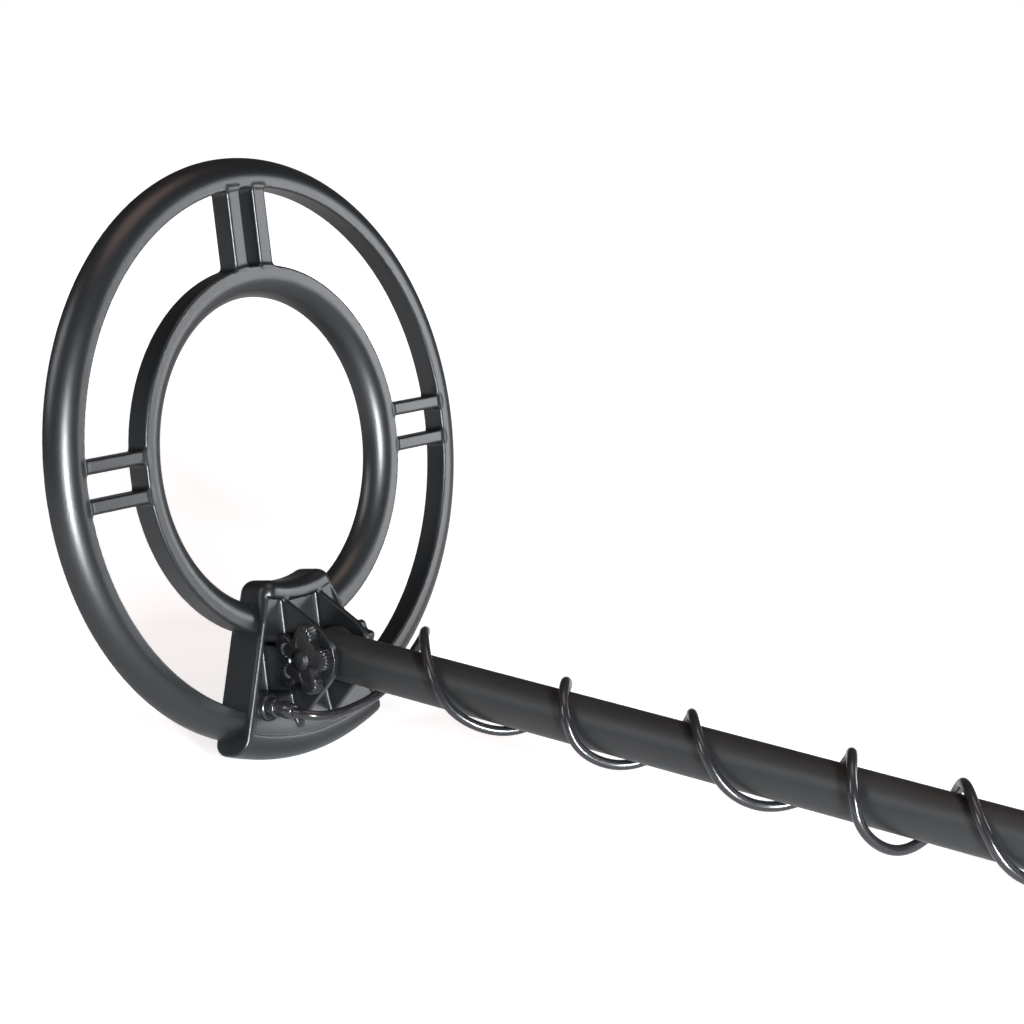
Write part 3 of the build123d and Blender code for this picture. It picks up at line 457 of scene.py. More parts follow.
TO_NEAR = Matrix.Rotation(radians(90), 4, "X")
TO_FAR = Matrix.Rotation(radians(-90), 4, "X")
KNOB_TURN = Matrix.Rotation(radians(12), 4, "Z")
knob = lobed("tilt_star_knob", star_outline, [
    (8.5, 0), (0.8, 0), (0.2, 0.3), (0, 0.9), (0, 4.1), (0.3, 4.8), (0.9, 5.2), (4.0, 5.3), (4.5, 4.6),
    (8.5, 4.6)], hard_black, BUILD @ Matrix.Translation((0, -EAR_OUT - 0.1, 0)) @ TO_NEAR @ KNOB_TURN)
stands_for(knob, "pivot_star_knob", "knob_plastic", "pivot_knob")
head = lobed("head", head_outline, [
    (9, 0), (0.5, 0), (0, 0.6), (0, 5.6), (0.5, 6.6), (1.5, 7.0), (5, 7.0), (5.6, 6.4), (9, 6.4)
], hard_black, BUILD @ Matrix.Translation((0, EAR_OUT, 0)) @ TO_FAR)
outline = rounded([(0, -0.5, 0), (4.0, -0.5, 0), (4.0, 16.4, 0.6), (2.9, 17.9, 1.2), (0, 18.1, 0)], 6)
shank = turned("shank", outline, gloss, BUILD @ TO_NEAR)
bolt = fuse("tilt_bolt", [head, shank], hard_black)
stands_for(bolt, "coil", "knob_plastic", "pivot_bolt")
dress(rubber, "pivot_washers")

# ------------------------------ lower rod
# A matte black glass-fibre rod, 19 mm thick, whose end is flattened into a tongue between the ears.
# Its surface has faint lengthwise pultrusion lines. A plug closes its far end.
rod_finish = Finish("matte_glass_fibre")
grainy = rod_finish.noise(900.0, 3.0, (0.06, 1.0, 1.0))
rod_cloud = rod_finish.noise(30.0, 3.0)
rod_finish.set(Base_Color=rod_finish.tint(rod_cloud, (0.0052, 0.0052, 0.0053), (0.0100, 0.0100, 0.0102)))
rod_finish.set(Roughness=(grainy * 0.12 + rod_cloud * 0.08 + 0.40).clamp())
rod_finish.relief(grainy, 0.00003, 0.7)
fibre = rod_finish.material
dress(fibre, "lower_rod", "stand")
dress(hard_black, "rod_end_plug")

# ------------------------------ tubes and lock collars
# The middle and handle tubes are black anodised aluminium. At each joint a split nylon collet
# is squeezed on to the inner tube by a ribbed twist collar.
anodised = Finish("black_anodised", Metallic=0.85, Specular_IOR_Level=0.4)
drawn = anodised.noise(1300.0, 3.0, (0.04, 1.0, 1.0))
scuff = (anodised.noise(45.0, 6.0) - 0.62).clamp() * 3.0
anodised.set(Base_Color=anodised.tint(scuff, (0.030, 0.030, 0.032), (0.085, 0.085, 0.09)))
anodised.set(Roughness=(drawn * 0.16 + scuff * 0.15 + 0.27).clamp())
anodised.relief(drawn, 0.00002, 0.6)
dress(anodised.material, "middle_tube", "upper_tube")
dress(rubber, "tube_end_cap")
pale = moulded_finish("natural_nylon", (0.50, 0.49, 0.44), (0.58, 0.57, 0.52), 0.45)
dress(pale, "rod_collet", "tube_collet")


def grower(name, inputs, kinds, links, modes=()):
    """A Geometry Nodes tree, from its inputs, its nodes, the links between them and nodes' modes."""
    tree = bpy.data.node_groups.new(name, "GeometryNodeTree")
    for label, kind in inputs:
        tree.interface.new_socket(label, in_out="INPUT", socket_type="NodeSocket" + kind)
    tree.interface.new_socket("Finish", in_out="INPUT", socket_type="NodeSocketMaterial")
    tree.interface.new_socket("Geometry", in_out="OUTPUT", socket_type="NodeSocketGeometry")
    made = {key: tree.nodes.new(kind) for key, kind in kinds.items()}
    made["in"], made["out"] = tree.nodes.new("NodeGroupInput"), tree.nodes.new("NodeGroupOutput")
    made["coat"] = tree.nodes.new("GeometryNodeSetMaterial")
    for key, mode in modes:
        made[key].mode = mode
    links = [*links, ("in", "Finish", "coat", "Material"), ("coat", "Geometry", "out", "Geometry")]
    for source, output, target, socket in links:
        tree.links.new(made[source].outputs[output], made[target].inputs[socket])
    return tree, made


def rib_tree():
    """Evenly spaced round ribs about the X axis, on a given radius."""
    tree, made = grower("ribs_about_axis", [
        ("Count", "Int"), ("Radius", "Float"), ("Rib Length", "Float"), ("Rib Radius", "Float"),
        ("Start", "Float"),
    ], {
        "circle": "GeometryNodeMeshCircle", "bar": "GeometryNodeMeshCylinder",
        "place": "GeometryNodeInstanceOnPoints", "real": "GeometryNodeRealizeInstances",
        "turn": "GeometryNodeTransform", "smooth": "GeometryNodeSetShadeSmooth",
        "shift": "ShaderNodeCombineXYZ",
    }, [
        ("in", "Count", "circle", "Vertices"), ("in", "Radius", "circle", "Radius"),
        ("in", "Rib Length", "bar", "Depth"), ("in", "Rib Radius", "bar", "Radius"),
        ("circle", "Mesh", "place", "Points"), ("bar", "Mesh", "place", "Instance"),
        ("place", "Instances", "real", "Geometry"), ("real", "Geometry", "turn", "Geometry"),
        ("in", "Start", "shift", "X"), ("shift", "Vector", "turn", "Translation"),
        ("turn", "Geometry", "smooth", "Geometry"), ("smooth", "Geometry", "coat", "Geometry"),
    ])
    made["bar"].inputs["Vertices"].default_value = 10
    made["turn"].inputs["Rotation"].default_value = (0, pi / 2, 0)
    return tree


def grown(name, tree, finish, place, seed=None, **sizes):
    """A plain mesh from a Geometry Nodes tree with these inputs; seed is the mesh it starts from."""
    made = bpy.data.objects.new(name, seed or bpy.data.meshes.new(name))
    bpy.context.scene.collection.objects.link(made)
    growth = made.modifiers.new("growth", "NODES")
    growth.node_group = tree
    named = {item.name: item.identifier for item in tree.interface.items_tree if item.in_out == "INPUT"}
    for key, value in dict(sizes, Finish=finish).items():
        growth[named[key.replace("_", " ")]] = value
    bpy.context.view_layer.update()
    seen = bpy.context.evaluated_depsgraph_get()
    mesh = bpy.data.meshes.new_from_object(made.evaluated_get(seen))
    made.modifiers.clear()
    bpy.data.objects.remove(made)
    mesh.name = name
    mesh.transform(place)
    return piece(name, mesh, finish)


ribs_about = rib_tree()
ALONG_X = Matrix.Rotation(radians(90), 4, "Y")
collar_black = moulded_finish("collar_black", (0.016, 0.016, 0.017), (0.028, 0.028, 0.029), 0.42)


def collar(name, start, rod_r, tube_r, body, cad):
    """A twist collar: rounded lips, a narrow waist of grip ribs, and a bore that fits its two tubes."""
    skirt, place = tube_r + 5.4, BUILD @ Matrix.Translation((start, 0, 0)) @ ALONG_X
    waist = skirt - 0.9
    outline = rounded([
        (rod_r + 0.3, -15, 0.4), (skirt - 1.6, -15, 1.5), (skirt, -12.6, 1.2), (skirt, -11.4, 0.3),
        (waist, -11.0, 0.3), (waist, 22.0, 0.3), (skirt, 22.4, 0.3), (skirt, 25.0, 1.2),
        (skirt - 1.8, 27, 0.8), (tube_r + 0.06, 27, 0.4), (tube_r + 0.06, 0.2, 0), (tube_r + 2.1, 0.2, 0),
        (tube_r + 2.1, -12.2, 0), (rod_r + 0.3, -12.2, 0)], 4)
    barrel = turned("barrel", outline, collar_black, place, 96)
    grip = grown("grip", ribs_about, collar_black, BUILD, Count=28, Radius=waist,
                 Rib_Length=31.0, Rib_Radius=0.95, Start=start + 5.5)
    made = fuse(name, [barrel, grip], collar_black)
    stands_for(made, body, "knob_plastic", cad)


collar("rod_collar_ribbed", 350.0, 9.5, 11.1, "rod_collar", "rod_lock_collar")
collar("tube_collar_ribbed", 570.0, 11.1, 12.7, "tube_collar", "tube_lock_collar")

# ------------------------------ snap button
# A plated steel push button on a leaf spring locks the middle tube into the handle tube.
steel_finish = Finish("plated_steel", Metallic=1.0)
brushed = steel_finish.noise(1800.0, 2.0, (1.0, 0.08, 1.0))
steel_cloud = steel_finish.noise(60.0, 4.0)
steel_finish.set(Base_Color=steel_finish.tint(steel_cloud, (0.50, 0.50, 0.52), (0.66, 0.66, 0.67)))
steel_finish.set(Roughness=brushed * 0.2 + 0.18)
steel_finish.relief(brushed, 0.00001, 0.5, 0.0002)
steel = steel_finish.material
dress(steel, "snap_button", "button_spring")

# ------------------------------ foam grip
# A closed-cell foam sleeve with rounded ends covers the rise of the S-shaped handle tube. Its axis
# follows the tube: the end of the lower bend, the straight rise and the start of the upper bend.
BEND_R, BEND_START, GRIP_LENGTH = 60.0, 680.0, 80.0
GRIP_ANGLE, REAR_ANGLE = radians(55), radians(18)
TUBE_R, FOAM_R = 12.75, 18.5
APEX = Vector((BEND_START + 2 * BEND_R * sin(GRIP_ANGLE) + GRIP_LENGTH * cos(GRIP_ANGLE), 0,
               2 * BEND_R * (1 - cos(GRIP_ANGLE)) + GRIP_LENGTH * sin(GRIP_ANGLE)))


def grip_axis(steps=20):
    """Stations along the grip: a place on the tube's axis and the axis's slope there."""
    stations = []
    for step in range(steps + 1):
        slant = GRIP_ANGLE * (0.55 + 0.45 * step / steps)
        place = (BEND_START + BEND_R * sin(slant), 0, BEND_R * (1 - cos(slant)))
        stations.append((Vector(place), slant))
    foot = stations[-1][0]
    for step in range(1, steps):
        rise = GRIP_LENGTH * step / steps
        stations.append((foot + rise * Vector((cos(GRIP_ANGLE), 0, sin(GRIP_ANGLE))), GRIP_ANGLE))
    for step in range(steps + 1):
        slant = GRIP_ANGLE - 0.3 * (GRIP_ANGLE + REAR_ANGLE) * step / steps
        stations.append((APEX - BEND_R * Vector((sin(slant), 0, 1 - cos(slant))), slant))
    return stations


def grip_loop(station, radius, shift=0.0):
    middle, slant = station
    along = Vector((cos(slant), 0, sin(slant)))
    across = Vector((-sin(slant), 0, cos(slant)))
    side = Vector((0, 1, 0))
    turns = [2 * pi * i / 72 for i in range(72)]
    return [middle + along * shift + (side * cos(t) + across * sin(t)) * radius for t in turns]


foam_finish = Finish("cell_foam", Roughness=0.93, Specular_IOR_Level=0.25)
cells = foam_finish.node("TexVoronoi", None, {"Vector": foam_finish.place, "Scale": 1500.0}, "Distance")
foam_cloud = foam_finish.noise(70.0, 4.0)
foam_finish.set(Base_Color=foam_finish.tint(foam_cloud, (0.012, 0.012, 0.013), (0.026, 0.026, 0.027)))
foam_finish.relief(cells, 0.00025, 0.7)
foam = foam_finish.material
stations = grip_axis()
edge = [(TUBE_R, 0.0), (15.6, 0.0), (17.2, 0.5), (18.1, 1.6), (FOAM_R, 3.2)]
loops = [grip_loop(stations[0], radius, shift) for radius, shift in edge]
loops += [grip_loop(station, FOAM_R) for station in stations[3:-3]]
loops += [grip_loop(stations[-1], radius, -shift) for radius, shift in edge[::-1]]
loops += [grip_loop(station, TUBE_R) for station in stations[-2:0:-1]]
grip = skin("foam_grip_sleeve", loops, foam, BUILD)
stands_for(grip, "handle_frame", "foam", "foam_grip")

# ------------------------------ control housing
# A textured black box in two shells sits on the top of the bend. A saddle and a clamp with four
# screws hold it to the tube, and a hinged door closes the battery bay at the front.
housing_black = moulded_finish("housing_texture", (0.020, 0.021, 0.023), (0.030, 0.031, 0.033), 0.48,
                               800.0, 0.0001, 0.5)
SHARP = radians(40)


def eased(name, cad, width, finish, body, slot):
    """A CAD node as a piece whose edges are rounded."""
    form = bmesh.new()
    form.from_mesh(node[cad].data)
    form.transform(node[cad].matrix_world)
    bmesh.ops.remove_doubles(form, verts=form.verts, dist=1e-6)
    bmesh.ops.dissolve_limit(form, angle_limit=radians(0.5), verts=form.verts, edges=form.edges)
    mesh = bpy.data.meshes.new(name)
    form.to_mesh(mesh)
    form.free()
    rough = piece(name, mesh, finish)
    bevel = rough.modifiers.new("edges", "BEVEL")
    bevel.width, bevel.segments, bevel.limit_method, bevel.angle_limit = width * MM, 2, "ANGLE", SHARP
    seen = bpy.context.evaluated_depsgraph_get()
    soft = bpy.data.meshes.new_from_object(rough.evaluated_get(seen))
    bpy.data.objects.remove(rough)
    soft.shade_smooth()
    soft.set_sharp_from_angle(angle=SHARP)
    made = piece(name, soft, finish)
    stands_for(made, body, slot, cad)
    return made


for shape, width in (("upper_shell", 0.7), ("lower_shell", 0.4), ("saddle", 0.6), ("clamp", 0.6)):
    cad = "housing_" + shape
    eased(cad + "_moulded", cad, width, housing_black, "handle_frame", "housing_plastic")
eased("battery_door_moulded", "battery_door", 0.3, housing_black, "door", "housing_plastic")
dress(steel, "clamp_screws", "housing_screws", "door_pin")
jacket_finish = Finish("cell_jackets", Roughness=0.32)
along = jacket_finish.node("SeparateXYZ", None, {0: jacket_finish.place}, "X")
band = along > (PIVOT.x + (APEX.x - 26.0) * MM)
jacket_finish.set(Base_Color=jacket_finish.tint(band, (0.035, 0.04, 0.05), (0.42, 0.20, 0.06)))
jacket_finish.set(Metallic=band * 0.8)
jacket_finish.relief(jacket_finish.noise(300.0), 0.00004, 0.5)
dress(jacket_finish.material, "batteries")

# ------------------------------ control panel
# The sloping panel has a display behind a clear window, four round keys with raised marks, a larger
# pinpoint key, and two fluted dials with a pale pointer line. The board and speaker are behind it.
PANEL_UP, PANEL_OUT = Vector((-108, 0, 30)).normalized(), Vector((30, 0, 108)).normalized()
PANEL = BUILD @ Matrix.Translation(APEX + Vector((62, 0, 55))) @ Matrix((
    (PANEL_UP.x, 0, PANEL_OUT.x, 0), (0, -1, 0, 0), (PANEL_UP.z, 0, PANEL_OUT.z, 0), (0, 0, 0, 1)))
KEY_AT, KNOB_AT, KNOB_SIDE, WINDOW_AT = 46.0, 20.0, 28.0, 83.0


def boxes(name, spans, finish, place):
    """Several plain blocks as one piece, each from its low corner to its high corner."""
    form = bmesh.new()
    for low, high in spans:
        size = [b - a for a, b in zip(low, high)]
        middle = [(a + b) / 2 for a, b in zip(low, high)]
        bmesh.ops.create_cube(form, size=1.0, matrix=Matrix.Translation(middle) @ Matrix.Diagonal((*size, 1)))
    mesh = bpy.data.meshes.new(name)
    form.to_mesh(mesh)
    form.free()
    mesh.transform(place)
    return piece(name, mesh, finish)


def added(made, body):
    """The piece rides on a body beside the CAD nodes that it decorates."""
    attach(made, body)


def slab(up, side, high, wide, bottom, top):
    """A flat block on the panel: its middle, its size, and how far it stands out of the panel."""
    return (up - high / 2, side - wide / 2, bottom), (up + high / 2, side + wide / 2, top)


def patch(right, up, wide, high):
    """A flat block on the display, measured to the right and up from its centre."""
    return slab(WINDOW_AT + up, -right, high, wide, -3.55, -3.3)


STROKE, DIGIT_WIDE, DIGIT_HIGH = 1.4, 7.0, 13.0
BARS = {"a": (0, 1, 1, 0), "b": (1, 0.5, 0, 1), "c": (1, -0.5, 0, 1), "d": (0, -1, 1, 0),
        "e": (-1, -0.5, 0, 1), "f": (-1, 0.5, 0, 1), "g": (0, 0, 1, 0)}


def digit(middle, bars):
    """The lit bars of one seven-bar figure."""
    lit = []
    for bar in bars:
        right, up, flat, upright = BARS[bar]
        wide = STROKE + flat * (DIGIT_WIDE - 2.2 * STROKE)
        high = STROKE + upright * (DIGIT_HIGH / 2 - 2.2 * STROKE)
        lit.append(patch(middle + right * DIGIT_WIDE / 2, 4 + up * DIGIT_HIGH / 2, wide, high))
    return lit


display = Finish("display_glass", Roughness=0.22)
display.set(Base_Color=display.tint(display.noise(25.0), (0.27, 0.33, 0.24), (0.32, 0.38, 0.28)))
dress(display.material, "display_panel")
ink = Finish("display_ink", Base_Color=(0.012, 0.014, 0.013))
ink.set(Roughness=ink.noise(200.0) * 0.1 + 0.3)
lit = digit(-6, "bcfg") + digit(6, "abged")
lit += [patch(-24 + 4 * bar, -12, 2.6, 2.0 + 0.45 * bar) for bar in range(13)]
lit += [patch(24, up, 7, 1.0) for up in (2, 10)] + [patch(right, 6, 1.0, 9) for right in (20.5, 27.5)]
lit += [patch(-24, up, 6 - up / 3, 1.4) for up in (0, 4, 8)]
added(boxes("display_marks", lit, ink.material, PANEL), "handle_frame")
clear = Finish("clear_window", Base_Color=(0.93, 0.95, 0.94), Transmission_Weight=1.0, IOR=1.46)
clear.set(Roughness=clear.noise(120.0, 5.0) * 0.05)
dress(clear.material, "display_window")
key_finish = moulded_finish("key_rubber", (0.10, 0.105, 0.11), (0.14, 0.145, 0.15), 0.62, 1200.0, 0.00004)
pale_ink = moulded_finish("pale_marks", (0.55, 0.56, 0.55), (0.65, 0.66, 0.64), 0.5)
KEY_BOTTOM, KEY_TOP = -4.2, 2.2
marks = [[(0, 0, 4.6, 1.0)], [(0, 0, 4.6, 1.0), (0, 0, 1.0, 4.6)],
         [(-1.6, 0, 1.0, 4.0), (0, 1.5, 3.0, 1.0), (0, -1.5, 3.0, 1.0), (1.6, 0, 1.0, 4.0)],
         [(-1.3, 0, 1.0, 4.4), (0, 0, 1.0, 3.2), (1.3, 0, 1.0, 2.0)]]
outline = rounded([(0, 0.1, 0), (6.7, 0.1, 0.2), (6.7, 0.9, 0.2), (5.5, 0.9, 0.1), (5.5, 6.2, 1.0),
                   (0, 6.5, 0)])
for number, (side, mark) in enumerate(zip((-27.0, -9.0, 9.0, 27.0), marks), 1):
    place = PANEL @ Matrix.Translation((KEY_AT, side, KEY_BOTTOM))
    key = turned(f"round_key_{number}", outline, key_finish, place, 48)
    stands_for(key, f"key_{number}", "key_rubber", f"panel_key_{number}")
    spans = [slab(KEY_AT + up, side - right, high, wide, KEY_TOP - 0.3, KEY_TOP + 0.25)
             for right, up, wide, high in mark]
    added(boxes(f"key_mark_{number}", spans, pale_ink, PANEL), f"key_{number}")
place = PANEL @ Matrix.Translation((KNOB_AT, 0, KEY_BOTTOM))
outline = rounded([(0, 0, 0), (9.2, 0, 0.2), (9.2, 0.9, 0.2), (8.0, 0.9, 0.1), (8.0, 6.5, 1.2), (0, 6.7, 0)])
pinpoint = turned("round_pinpoint_key", outline, key_finish, place, 64)
stands_for(pinpoint, "key_pinpoint", "key_rubber", "pinpoint_key")
target = [turned("ring", [(3.2, 6.3), (3.9, 6.3), (3.9, 6.85), (3.2, 6.85)], pale_ink, place, 48),
          turned("dot", [(0, 6.3), (1.1, 6.3), (1.1, 6.9), (0, 6.9)], pale_ink, place, 24)]
added(fuse("pinpoint_mark", target, pale_ink), "key_pinpoint")


def dial_outline(angle):
    return 10.5 - 0.75 * (0.5 + 0.5 * cos(18 * angle)) ** 3


for name, body, side, turn in (("sensitivity_knob", "left_dial", -KNOB_SIDE, 40),
                               ("discrimination_knob", "right_dial", KNOB_SIDE, -25)):
    place = PANEL @ Matrix.Translation((KNOB_AT, side, 0.6)) @ Matrix.Rotation(radians(turn), 4, "Z")
    dial = lobed(name + "_fluted", dial_outline, [
        (7.4, 7.4), (7.4, 0), (0.6, 0), (0, 0.5), (0, 1.6), (0.9, 2.6), (1.3, 10.2), (1.8, 11.1), (2.8, 11.5),
        (10.4, 11.2)], hard_black, place)
    stands_for(dial, body, "knob_plastic", name)
    pointer = boxes(name + "_pointer", [((3.0, -0.45, 11.2), (7.9, 0.45, 11.65))], pale_ink, place)
    added(pointer, body)
dress(steel, "control_pots")
board = Finish("solder_mask", Roughness=0.35)
tracks = board.noise(500.0, 1.0, (1.0, 0.15, 1.0))
board.set(Base_Color=board.tint((tracks - 0.5).clamp() * 6.0, (0.006, 0.06, 0.03), (0.03, 0.14, 0.07)))
board.relief(tracks, 0.00003, 0.5)
dress(board.material, "circuit_board")
paper_cone = moulded_finish("speaker_paper", (0.02, 0.02, 0.02), (0.04, 0.04, 0.042), 0.8)
dress(paper_cone, "speaker")

# ------------------------------ sockets and plug
# The headphone jack is at the back of the housing. At the front is the coil socket, with the
# cable's plug in it and a knurled nickel-plated lock ring.
dress(gloss, "headphone_jack")
nickel_finish = Finish("nickel_plate", Metallic=1.0)
haze = nickel_finish.noise(90.0, 5.0)
nickel_finish.set(Base_Color=nickel_finish.tint(haze, (0.52, 0.50, 0.46), (0.64, 0.63, 0.60)))
nickel_finish.set(Roughness=haze * 0.18 + 0.16)
nickel_finish.relief(nickel_finish.noise(1500.0), 0.00001, 0.5, 0.0003)
dress(nickel_finish.material, "plug_lock_ring", "coil_socket")
dress(hard_black, "coil_plug")

# ------------------------------ arm rest
# A moulded trough holds the forearm, with a quilted foam pad inside and a webbing strap over the
# top. A bolt and a star knob clamp it, with the stand, to the rear of the handle tube.
REAR = APEX + BEND_R * Vector((sin(REAR_ANGLE), 0, cos(REAR_ANGLE) - 1))
BACK = Vector((cos(REAR_ANGLE), 0, -sin(REAR_ANGLE)))
UPRIGHT = Vector((sin(REAR_ANGLE), 0, cos(REAR_ANGLE)))
REST = BUILD @ Matrix.Translation(REAR + 205.0 * BACK) @ Matrix((
    (BACK.x, 0, UPRIGHT.x, 0), (0, 1, 0, 0), (BACK.z, 0, UPRIGHT.z, 0), (0, 0, 0, 1)))
TROUGH_Z, PAD_OUT, PAD_IN, PAD_HALF, PAD_TOP, QUILT_STEP = 66.0, 45.9, 41.8, 47.0, 76.0, 18.8
eased("arm_cuff_moulded", "arm_cuff", 0.9, housing_black, "rest", "housing_plastic")


def pad_distance(x, y, z):
    """The pad: a trough-shaped layer with stitched channels across it and a soft rolled rim."""
    reach = np.where(z < TROUGH_Z, np.hypot(y, z - TROUGH_Z), np.abs(y))
    channel = np.exp(-((np.mod(x + QUILT_STEP / 2, QUILT_STEP) - QUILT_STEP / 2) / 1.6) ** 2)
    inner = PAD_IN - 0.5 + 2.2 * channel
    layer = cut(reach - PAD_OUT, reach - inner, 1.2)
    layer = cut(layer, -corner(np.abs(x) - PAD_HALF, z - PAD_TOP, 5.0), 1.8)
    return cut(layer, np.hypot(x, y) - 6.6, 1.2)


pad = moulded("quilted_arm_pad", (-50, -49, 17), (50, 49, 79), 0.9, pad_distance, REST, foam)
stands_for(pad, "rest", "foam", "cuff_pad")
STRAP_MIDDLE, STRAP_HALF, STRAP_THICK, ARCH_Z = 50.0, 15.0, 0.95, 88.0


def strap_line(lift=0.0, first=0.0, last=1.0, steps=72):
    """Points over the arm, from the near side of the trough to the far side, raised by lift."""
    radius, upright = STRAP_MIDDLE + lift, ARCH_Z - TROUGH_Z
    total = 2 * upright + pi * STRAP_MIDDLE
    line = []
    for step in range(steps + 1):
        gone = total * (first + (last - first) * step / steps)
        if gone < upright:
            line.append((0, -radius, TROUGH_Z + gone))
        elif gone > total - upright:
            line.append((0, radius, TROUGH_Z + total - gone))
        else:
            swing = (gone - upright) / STRAP_MIDDLE
            line.append((0, -radius * cos(swing), ARCH_Z + radius * sin(swing)))
    return line


def band_of(name, half, thick, finish, **span):
    """A flat band with rounded edges along part of the strap's line."""
    lift = span.pop("lift", 0.0)
    under, over = strap_line(lift - thick, **span), strap_line(lift + thick, **span)
    flat = half - 0.4
    section = [(-half, 0.3), (-flat, 0), (flat, 0), (half, 0.3)]
    section += [(x, 1 - share) for x, share in section[::-1]]
    loops = []
    for low, high in zip(under, over):
        loops.append([Vector(low).lerp(Vector(high), share) + Vector((x, 0, 0)) for x, share in section])
    return skin(name, loops, finish, REST, False)


def stitch_tree():
    """One short thread at each step along the lines of a mesh."""
    tree, made = grower("stitches_on_line", [
        ("Line", "Geometry"), ("Spacing", "Float"), ("Thread Length", "Float"), ("Thread Radius", "Float"),
    ], {
        "curve": "GeometryNodeMeshToCurve", "spots": "GeometryNodeCurveToPoints",
        "thread": "GeometryNodeMeshCylinder", "place": "GeometryNodeInstanceOnPoints",
        "real": "GeometryNodeRealizeInstances",
    }, [
        ("in", "Line", "curve", "Mesh"), ("curve", "Curve", "spots", "Curve"),
        ("in", "Spacing", "spots", "Length"), ("in", "Thread Length", "thread", "Depth"),
        ("in", "Thread Radius", "thread", "Radius"),
        ("spots", "Points", "place", "Points"), ("spots", "Rotation", "place", "Rotation"),
        ("thread", "Mesh", "place", "Instance"), ("place", "Instances", "real", "Geometry"),
        ("real", "Geometry", "coat", "Geometry"),
    ], [("spots", "LENGTH")])
    made["thread"].inputs["Vertices"].default_value = 6
    return tree


webbing_finish = Finish("woven_webbing", Roughness=0.85, Specular_IOR_Level=0.3)
warp, weft = (webbing_finish.node("TexWave", {"bands_direction": way},
                                  {"Vector": webbing_finish.place, "Scale": scale}, "Fac")
              for way, scale in (("X", 260.0), ("Z", 330.0)))
weave = warp * 0.6 + weft * 0.4
webbing_finish.set(Base_Color=webbing_finish.tint(weave, (0.010, 0.010, 0.011), (0.035, 0.035, 0.037)))
webbing_finish.relief(weave, 0.0003, 0.7)
webbing = webbing_finish.material
strap = band_of("webbing_strap", STRAP_HALF, STRAP_THICK, webbing)
stands_for(strap, "rest", "webbing", "arm_strap")
overlap = band_of("strap_overlap", STRAP_HALF - 0.6, 0.6, webbing,
                  lift=STRAP_THICK + 0.6, first=0.30, last=0.62)
added(overlap, "rest")
stitching = bpy.data.meshes.new("stitch_lines")
threads = []
for aside, lift, first, last in ((12.5, 1.05, 0.03, 0.29), (12.0, 2.25, 0.31, 0.61),
                                 (12.5, 1.05, 0.63, 0.97)):
    for side in (-aside, aside):
        threads.append([(side, y, z) for _, y, z in strap_line(lift, first, last)])
dots = [point for line in threads for point in line]
joints = [(i, i + 1) for i in range(len(dots) - 1) if (i + 1) % len(threads[0])]
stitching.from_pydata(dots, joints, [])
thread_finish = moulded_finish("grey_thread", (0.10, 0.10, 0.105), (0.16, 0.16, 0.165), 0.7)
seams = grown("strap_stitches", stitch_tree(), thread_finish, REST, stitching,
              Spacing=3.0, Thread_Length=2.1, Thread_Radius=0.28)
added(seams, "rest")
dress(steel, "cuff_bolt")
eased("cuff_knob_moulded", "cuff_knob", 0.8, hard_black, "rest_knob", "knob_plastic")

# ------------------------------ stand
# Two splayed composite legs carry the rear of the detector on round rubber feet with a grip groove.
foot_low, foot_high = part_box("stand_feet")
feet = []
outline = rounded([(0, 0, 0), (8.5, 0, 0.8), (8.5, 3.2, 0.5), (7.8, 3.9, 0.3), (7.8, 4.9, 0.3),
                   (8.5, 5.6, 0.5), (8.5, 9.6, 2.0), (6.4, 13.0, 1.4), (0, 13.0, 0)])
for y in (-66.0, 66.0):
    place = Matrix.Translation(((foot_low.x + foot_high.x) / 2, y * MM, foot_low.z)) @ Matrix.Scale(MM, 4)
    feet.append(turned("foot", outline, rubber, place, 48))
stands_for(fuse("rubber_feet", feet, rubber), "rest", "rubber", "stand_feet")
dress(webbing, "cable_ties")

# ------------------------------ coil cable
# A glossy black 3.9 mm cable leaves the sleeve on the mount, passes under the rod and winds round it
# to the plug on the housing.
CABLE = 0.0039
TURN_SHRINK = 0.87
LEAD_POINTS = [(16.0, -22.0, -18.3), (18.5, -12.5, -18.4), (19.0, -2.0, -17.6), (19.5, 9.0, -15.6),
               (22.5, 18.0, -8.0), (29.0, 20.5, 3.5), (38.0, 15.5, 14.2)]
ROD_TURNS = [(48, 90, 15.8), (62, 150, 13.2), (74, 210, 12.7), (89, 270, 12.3), (101, 330, 12.6),
             (109, 390, 13.0), (116, 450, 12.6), (124.5, 510, 13.4), (132, 570, 13.0), (143.5, 630, 12.6),
             (156, 690, 12.5), (164, 750, 13.2), (172, 810, 12.8), (184.5, 870, 13.4), (196, 930, 12.9),
             (207.5, 990, 12.5), (221, 1050, 12.5), (230, 1110, 13.6), (237.6, 1170, 13.8),
             (245.5, 1230, 13.8), (251, 1290, 14.4), (259.5, 1350, 15.4), (268, 1410, 13.0),
             (272, 1470, 13.8), (281, 1530, 13.0), (293, 1590, 12.8), (304, 1650, 12.6)]
TAIL_POINTS = [(697, 19.0, 18.0), (703, 27.0, 34.0), (702, 32.5, 57.0), (695, 35.0, 81.0),
               (685, 35.5, 106.0), (680, 34.5, 129.0), (687, 33.0, 145.0)]
TURNS_END, REGULAR_STEPS, STEPS_A_TURN = 686.0, 39, 6
FIRST_LAST, PLUG_RUN = 15, 14.0
jacket = Finish("cable_jacket", Base_Color=(0.010, 0.010, 0.011), Specular_IOR_Level=0.55)
handled = jacket.noise(260.0, 4.0)
jacket.set(Roughness=(handled * 0.16 + 0.13).clamp())
jacket.relief(handled, 0.00004, 0.6)


